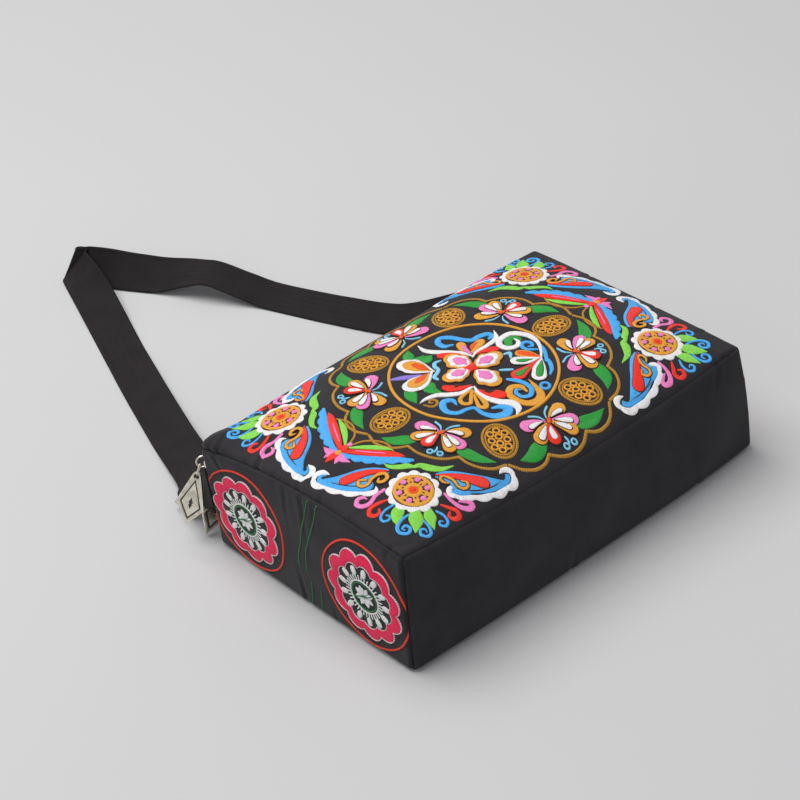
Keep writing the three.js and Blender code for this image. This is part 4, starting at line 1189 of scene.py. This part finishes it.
CENTRE = [
    # white sweeps above and below
    ("white", 1, [(-2, 51, 0.15), (-3.6, 42, 1.8), (-0.4, 34.6, 2.2), (5.6, 27, 1.9), (10.4, 19, 1.7),
        (11.8, 13, 0.8)]),
    ("white", 1, [(11, 11.6, 0.5), (17, 14.4, 1.3), (27, 14.8, 1.7), (36.6, 16.6, 1.9),
        (42.2, 24.6, 0.15)]),
    ("white", 1, [(-47.6, -1.2, 0.15), (-41.6, -0.4, 1.4), (-34, -2.4, 2.1), (-28, -8, 2.2),
        (-21.6, -12.2, 1.8), (-12.8, -12.6, 1.0)]),
    ("white", 1, [(-11, -13.2, 0.6), (-13.8, -20, 1.5), (-13.8, -28, 2.1), (-10.8, -36, 2.6),
        (-6, -43, 3.0), (-6.6, -49, 2.3), (-12.4, -53.2, 0.15)]),
    # blue scrolls
    ("blue", 0.6, [(12.4, 32.6, 1.0), (7.8, 35.6, 2.0), (8.2, 42, 2.2), (12.6, 45.4, 2.2), (17.4, 41, 2.2),
        (20.8, 33, 2.0), (24.6, 27.4, 2.0), (31, 26.8, 2.2), (36.6, 24.6, 2.2), (36.8, 20.8, 2.0),
        (33.6, 19.8, 1.2)]),
    ("blue", 0.6, [(-32.4, -19.6, 0.6), (-31, -14, 2.0), (-35.4, -11.2, 2.5), (-40, -15, 2.4),
        (-41.6, -21.4, 2.1), (-38, -26.8, 2.0), (-31, -28, 1.6), (-26.8, -30.4, 1.5), (-26.8, -38, 1.8),
        (-23, -44.8, 2.6), (-16.4, -47.6, 3.2), (-11.6, -45, 3.1), (-13.4, -40.6, 2.4), (-18.6, -38, 1.0)]),
    ("pale_blue", 1.2, [(-5.6, 24.6, 0.7), (-9.6, 25.4, 1.4), (-12.6, 22.6, 1.5), (-13.6, 18, 1.4),
        (-17.4, 15.4, 1.5), (-21, 13.6, 1.5), (-21.4, 9.8, 0.9)]),
    ("pale_blue", 0.8, [(12.6, -12.6, 0.9), (15.6, -15.4, 1.3), (18.4, -18, 0.9)]),
    ("pale_blue", 0.8, [(25.4, -1.4, 0.7), (29.8, -3.4, 1.5), (26.4, -8.2, 0.7)]),
    ("violet", 0.7, [(-42, 33.6, 0.8), (-34.6, 28.6, 2.4), (-26, 22.4, 1.6)]),
    # green leaves
    ("green", 0.3, [(-48.4, 0.6, 0.3), (-45.6, 8.6, 4.2), (-41.6, 14.6, 4.0)]),
    ("green", 0.3, [(-29.4, -2.6, 0.3), (-31.6, 4, 3.8), (-30.6, 9.6, 5.4)]),
    ("green", 0.3, [(-10, 51.4, 0.3), (-14.4, 46.4, 3.8), (-17.8, 41.6, 3.6)]),
    ("green", 0.3, [(-4.6, 34, 0.3), (-9.4, 33.8, 5.0), (-13.4, 36.6, 4.0)]),
    # two white-edged petals at the left
    ("white", 1.4, [(-17, 19, 1.0), (-20.2, 28, 6.4), (-22.4, 34.6, 8.6), (-23.4, 37, 7.4)]),
    ("white", 1.4, [(-19, 18.6, 1.0), (-28, 17, 6.2), (-34.6, 16.6, 8.0), (-37, 16.8, 7.2)]),
    ("gold", 2.2, [(-18.2, 21, 0.6), (-20.4, 29, 5.0), (-22.2, 34.4, 5.8)]),
    ("gold", 2.2, [(-21, 18.8, 0.6), (-28.6, 17.4, 4.4), (-34.4, 17.2, 5.4)]),
    ("orange", 3, [(-18.4, 22.4, 0.4), (-19.8, 27.6, 2.8), (-20.6, 32.6, 2.4)]),
    ("orange", 3, [(-22.6, 19.6, 0.4), (-28.6, 18.2, 2.6), (-33, 17.4, 1.6)]),
    # red leaves beside the middle flower, two of them with a dark heart
    ("red", 0.8, [(11.6, 17.6, 0.15), (6.6, 22.6, 2.2), (1.4, 27, 3.6), (-1, 28.8, 3.0)]),
    ("red", 0.8, [(13.4, 12.8, 0.15), (20, 12, 1.8), (25.6, 8.8, 3.2), (27.4, 7.6, 3.0)]),
    ("red", 0.8, [(-10.6, -10.8, 0.15), (-17.6, -8.4, 2.2), (-23, -3.4, 3.4), (-24.2, -0.6, 2.6)]),
    ("red", 0.8, [(-11.8, -15.6, 0.15), (-10, -23.6, 2.6), (-6.4, -29.4, 4.6), (-4.8, -31.6, 3.8)]),
    ("brown", 1.8, [(-10.2, -21.6, 0.2), (-8.2, -24.4, 1.5), (-6.4, -25.4, 0.6)]),
    ("brown", 1.8, [(-20.4, -6, 0.2), (-18, -4.6, 1.3), (-16.8, -5.4, 0.5)]),
    # flower at the upper right
    ("gold", 1, [(12.4, 14.6, 0.5), (13.6, 22.6, 2.8), (15.8, 28, 3.4)]),
    ("gold", 1, [(13.4, 15, 0.5), (20.6, 19.4, 3.6), (26.8, 21.2, 3.4)]),
    ("pink", 1.8, [(12.4, 14, 0.4), (13.6, 20.6, 1.8), (15.4, 25.8, 1.2)]),
    ("orange", 1.8, [(16, 18, 0.4), (19.6, 21, 1.8), (24, 22, 1.0)]),
    # scroll at the right, white with a green heart
    ("green", 0.5, [(37, 4.6, 2.6), (40, 8.4, 3.0), (44, 8.4, 2.2), (46.4, 4.6, 1.2), (45.6, 1.4, 0.15)]),
    ("white", 1.2, [(43.6, 6.6, 0.4), (43, 2, 1.4), (38.4, -1, 2.0), (33.4, 1.2, 2.2), (32, 6.6, 2.2),
        (34.4, 11.4, 2.3), (40, 13.8, 2.3), (46, 13, 2.4), (50, 8.8, 2.4), (52.6, 1.6, 2.2),
        (51.4, -7.4, 1.5), (46, -16, 1.0), (40.6, -21.6, 0.8)]),
    ("blue", 0.9, [(45.4, -13.4, 0.8), (40.6, -8.6, 1.3), (40.8, -3.4, 1.5), (45, -1.4, 1.5),
        (47.6, -4.6, 1.4), (45.8, -8.4, 1.1), (43.4, -7, 0.6)]),
    ("blue", 0.5, [(50.6, -10.6, 0.8), (48.6, -16, 1.3), (44.6, -22, 1.4), (40.6, -26.4, 1.0)]),
    # fan of drops
    ("orange", 1.4, [(40.8, -20.8, 0.4), (37.4, -14.4, 2.8), (34.6, -9, 2.6)]),
    ("gold", 1.0, [(40.8, -20.8, 0.8), (37, -13.6, 4.0), (34.4, -8.8, 3.6)]),
    ("white", 1.3, [(39.6, -21.4, 0.5), (32, -17.8, 4.0), (26.8, -13.4, 4.4)]),
    ("green", 2.3, [(34.6, -19.6, 0.3), (30, -17, 1.7), (27.4, -14.6, 1.5)]),
    ("red", 1.3, [(39.6, -22.4, 0.4), (27, -24.2, 2.6), (17.6, -24.8, 5.6)]),
    ("green", 2.3, [(27.4, -24.2, 0.3), (20.8, -24.8, 1.8), (17.6, -24.9, 2.5)]),
    ("white", 1.3, [(40, -22.6, 0.5), (33.4, -27.6, 4.0), (26.2, -34.6, 5.4)]),
    ("green", 2.3, [(37.6, -25.2, 0.3), (32, -29.6, 2.2), (26.6, -34.4, 2.4)]),
    ("blue", 0.6, [(43.4, -22, 0.7), (41.6, -28, 1.4), (37.4, -34.6, 1.5), (32.2, -38.6, 0.7)]),
    # spirals at the foot
    ("gold", 0.6, [(9.4, -40.6, 0.8), (9.6, -34.4, 2.0), (4.8, -31, 2.6), (-0.6, -34.6, 2.5),
        (-1.6, -42, 2.3), (1.4, -49, 2.6), (8, -51.6, 3.1), (14, -48.4, 2.8), (16.6, -41, 1.8),
        (18.4, -33, 0.3)]),
    ("blue", 1.3, [(9, -23.6, 1.4), (11.8, -28.4, 1.9), (13.6, -34.4, 1.8), (12.8, -41, 1.8),
        (8, -45, 1.8), (3.2, -43, 1.6), (2.6, -38, 1.5), (5.4, -35.4, 1.2), (7.2, -37.4, 0.5)]),
    ("gold", 0.8, [(-14.6, -15, 0.6), (-21, -14.8, 1.3), (-27, -17, 1.5), (-28.6, -21.6, 1.6),
        (-25.4, -24.6, 1.5), (-21.6, -21.4, 1.4), (-17.4, -17.4, 1.2), (-14.6, -15.8, 0.6)]),
    ("gold", 0.8, [(-15, -17.2, 0.6), (-16.2, -25, 1.5), (-18.6, -32, 1.9), (-21.6, -34.4, 1.8),
        (-23.4, -31, 1.6), (-20.6, -25.4, 1.2), (-17.2, -19.6, 0.8)]),
    ("old_gold", 0.5, [(-46.6, -4.4, 0.7), (-44, -9.6, 1.1), (-40, -9.6, 1.2), (-37.8, -6.2, 1.2),
        (-40, -3.4, 1.1), (-42.6, -5, 0.9), (-41, -6.8, 0.5)]),
]


PETAL = [  # a petal of the middle flower: colour, level, rows, scallops and edge
    ("gold", 2.4, [(0, 2.5, 1.6), (0, 9, 7.0), (0, 15, 8.8), (0, 18, 7.4)], (2, 1.2, 1.2), GAP),
    ("white", 4.2, [(0, 3.4, 0.6), (0, 8.6, 5.2), (0, 13.6, 6.8), (0, 16, 5.8)], (2, 0.9, 0.9), 0),
    ("pink", 5.6, [(0, 6.6, 1.2), (0, 10.6, 4.2), (0, 13.2, 3.9)], None, 0.3),
]
PETAL_TURNS = [(92, 1.0), (0, 1.0), (270, 1.0), (167, 0.9)]  # angle and size


def add_rosette(art, x, y):
    """The big round flower of a corner."""
    def spoke(angle, rows, level):
        dx, dy = math.cos(angle), math.sin(angle)
        art.stroke("gold", [(x + reach * dx, y + reach * dy, width) for reach, width in rows], level)

    art.hoop("white", x, y, 14.4, 1.9, 0.8, petals=12, depth=2.2)
    art.dot("brown", x, y, 13.6, 1.4)
    art.hoop("gold", x, y, 11.5, 1.3, 2.4)
    art.hoop("gold", x, y, 4.4, 1.5, 2.4)
    for angle in range(30, 390, 60):
        dx, dy = heading(angle)
        art.dot("pink", x + 8.9 * dx, y + 8.9 * dy, 2.0, 3.2)
        for turn in (-20, 20):
            spoke(math.radians(angle) + math.radians(turn), [(4.6, 0.8), (8.2, 1.0)], 2.2)
        spoke(math.radians(angle) + math.radians(30), [(8.4, 1.3), (10.6, 1.9)], 2.6)
    art.hoop("orange", x, y, 2.3, 1.0, 3.0)
    art.dot("red", x, y, 1.6, 4.0)


def add_corner(art):
    art.motif(CORNER, leaf="lime", slant=0.8, edged=1, unedged=("brown",))
    for rows in WINGS:
        art.between("blue", rows, 0.7)
    art.stroke("blue", HOOK, 0.8)
    add_rosette(art, -107, -61)


def add_lobe(art, places):
    art.stroke("chain_gold", [(x, y, 1.15) for x, y in places], 0.4)


def add_oval(art, middle, angle):
    """A stitched oval filled with small rings, its long way pointing outwards."""
    art.place(turned(angle), MANDALA_SHIFT)
    art.hoop("chain_gold", middle, 0, 13.6, 1.0, 0.5, radius_y=10.6)
    art.hoop("chain_gold", middle, 0, 11.6, 0.75, 0.5, radius_y=8.7)
    for x, y in OVAL_RINGS:
        art.hoop("gold", middle + x * 1.02, y, 2.0, 0.72, 0.6)
        art.dot("old_gold", middle + x * 1.02 + 2.6, y * 0.5 + 0.6, 0.6, 0.6)


def add_middle_flower(art):
    for turn, size in PETAL_TURNS:
        art.place(turned(turn - 90), (1.4 + MANDALA_SHIFT[0], 1.2 + MANDALA_SHIFT[1]))
        for colour, level, rows, scallops, edge in PETAL:
            rows = [(x, y * size, width * size) for x, y, width in rows]
            art.stroke(colour, rows, level, scallops=scallops, edge=edge)
    art.place(offset=MANDALA_SHIFT)
    art.stroke("red", [(-2.6, 4.2, 0.8), (1.2, 2, 3.2), (2.4, -2.4, 0.5)], 6.0)
    art.stroke("red", [(4.8, 4.4, 0.8), (1.6, 2.2, 3.0), (-1.2, -0.6, 0.8)], 6.0)


def add_front_embroidery(materials):
    art = Embroidery(PANELS["front_panel"], lambda x, y: (x, y), 11)
    art.place(offset=MANDALA_SHIFT)
    art.hoop("gold", 1.0, 0.0, 55.0, 1.2, 1.0)
    art.motif(CENTRE, leaf="green", slant=0.6, lift=1.5, edged=1.25)
    art.hoop("blue", 22, -44.2, 2.9, 1.2, 0.6)
    add_middle_flower(art)
    mirror = turned(-120) @ np.diag([1.0, -1.0])
    for angle in range(0, 360, 60):
        turn = turned(angle)
        art.place(turn, MANDALA_SHIFT)
        art.motif(FLOWER, leaf="green", slant=0.8, edged=1)
        for x in (-1.9, 4.6):
            art.hoop("pale_blue", x, -86.6, 1.7, 0.7, 0.6)
        add_lobe(art, LOBE_OVER_FLOWER)
        add_lobe(art, LOBE_OVER_OVAL)
        art.place(turn @ mirror, MANDALA_SHIFT)
        add_lobe(art, LOBE_OVER_OVAL)
        add_oval(art, 71.6, angle)
    for across in (1, -1):
        for upwards in (1, -1):
            art.place(np.diag([across, upwards]), CORNER_SHIFTS[across, upwards])
            add_corner(art)
            art.place(np.diag([across, upwards]))
            art.motif(BIRD)
        art.place(np.diag([across, 1]))
        art.stroke("red", [(-125.4, 0.6, 0.15), (-121, 0.8, 2.4), (-117.6, 0.4, 2.8)], 1.4)
        art.dot("gold", -114.8, 0, 2.2, 2.2)
        art.dot("red", -110, 0, 3.0, 2.6)
        art.dot("pink", -105.2, 0, 1.9, 1.8)
    art.finish("embroidery_front", materials)


# Motifs of the side panels

MEDALLION_LEAVES = [  # angle, reach, half-width
    (150, 5.6, 2.4),
    (112, 5.6, 2.1),
    (66, 5.2, 1.8),
    (22, 5.6, 1.9),
    (-25, 5.2, 1.7),
    (-70, 5.4, 2.1),
    (-118, 5.4, 2.1),
    (-160, 6, 2.2),
]

SIDE_LINES = [
    [(9.4, 86, 0.45), (5.6, 72, 0.5), (1.6, 56, 0.5), (-2.4, 43, 0.5), (-3.4, 33, 0.4)],
    [(18, 86, 0.45), (13.4, 68, 0.5), (8.4, 56, 0.5), (5, 45, 0.5), (4.2, 31, 0.4)],
    [(5.8, 24, 0.45), (4.6, 13, 0.5), (2.4, 4, 0.4)],
    [(14.6, 22, 0.45), (13.6, 12, 0.5), (12, 4, 0.4)],
]


def add_medallion(art, x, y, wide, high):
    """A ring round a scalloped band, with pale petals and a broken green circle inside."""
    scallops = 11
    petals = 13
    spokes = 36
    art.place(np.diag([wide, high]) / 40, (x, y))
    art.hoop("ring_orange", 0, 0, 39.2, 0.8, 0.4)
    angles, out = circle(24 * scallops)
    wave = np.abs(np.sin(scallops / 2 * angles))[:, None] ** 0.8
    outer, inner = 29.2 + 4.6 * wave, 22.0 + 3.0 * wave
    art.lay("crimson", out * inner, out * outer, 0.6, closed=True, tall=0.6)
    art.lay("dash_white", out * (outer - 0.3), out * (outer + 0.6), 1.6, closed=True)
    art.lay("dash_white", out * (inner - 0.5), out * (inner + 0.1), 1.2, closed=True)
    for index in range(petals):
        angle = 360 / petals * index
        dx, dy = heading(angle)
        art.dot("silver", 19.6 * dx, 19.6 * dy, 2.2, 0.8, stretch=1.5, turn=angle)
    for index in range(spokes):
        dx, dy = heading(360 / spokes * index)
        art.stroke("silver", [(12.6 * dx, 12.6 * dy, 0.4), (16.2 * dx, 16.2 * dy, 0.55)], 0.3)
    art.hoop("silver", 0, 0, 12.4, 0.6, 0.6)
    art.hoop("dark_green", 0, 0, 10.8, 0.6, 0.6)
    for angle, reach, half_width in MEDALLION_LEAVES:
        dx, dy = heading(angle)
        stations = [(1.4, 0.3), (reach, half_width), (reach + 2.4, 0.5)]
        art.stroke("silver", [(along * dx, along * dy, width) for along, width in stations], 0.8)
    art.stroke("dark_green", [(-9, -3.6, 0.5), (-3, -0.8, 0.7), (3, 1.2, 0.5), (8, 4.4, 0.3)], 1.8)


def add_side_embroidery(panel, to_panel, prefix, seed, materials):
    art = Embroidery(PANELS[panel], to_panel, seed)
    add_medallion(art, -58, 40.5, 40.5, 37)
    add_medallion(art, 59, 40, 38.5, 36.5)
    art.place()
    for rows in SIDE_LINES:
        art.stroke("dark_green", [(x, y * 0.97, w) for x, y, w in rows], 0.3)
    art.finish(prefix, materials)


def add_embroidery():
    materials = {
        name: thread_material("thread_" + name, linear(colour), dashes=dashes)
        for name, (_, colour, dashes) in THREADS.items()
    }
    add_front_embroidery(materials)
    add_side_embroidery("side_panel_left", lambda x, y: (y, -x), "embroidery_left", 12, materials)
    add_side_embroidery("side_panel_right", lambda x, y: (x, y), "embroidery_right", 13, materials)


def build():
    add_camera()
    add_surroundings()
    cloth = cloth_material("black_cloth", (0.0215, 0.0198, 0.0228, 1))
    for panel in PANELS.values():
        add_panel(panel, cloth)
    add_zip_strips(cloth)
    nylon = nylon_material()
    add_zip_teeth(nylon)
    tape = tape_material()
    for row in range(1, ZIP_ROWS + 1):
        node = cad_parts[f"zip_tape_{row}"]
        node.data.materials.clear()
        node.data.materials.append(tape)
    add_strap(strap_material())
    add_embroidery()
    # the nylon's black also paints the shade in the kites' grooves
    add_metal(metal_material(), nylon)


build()
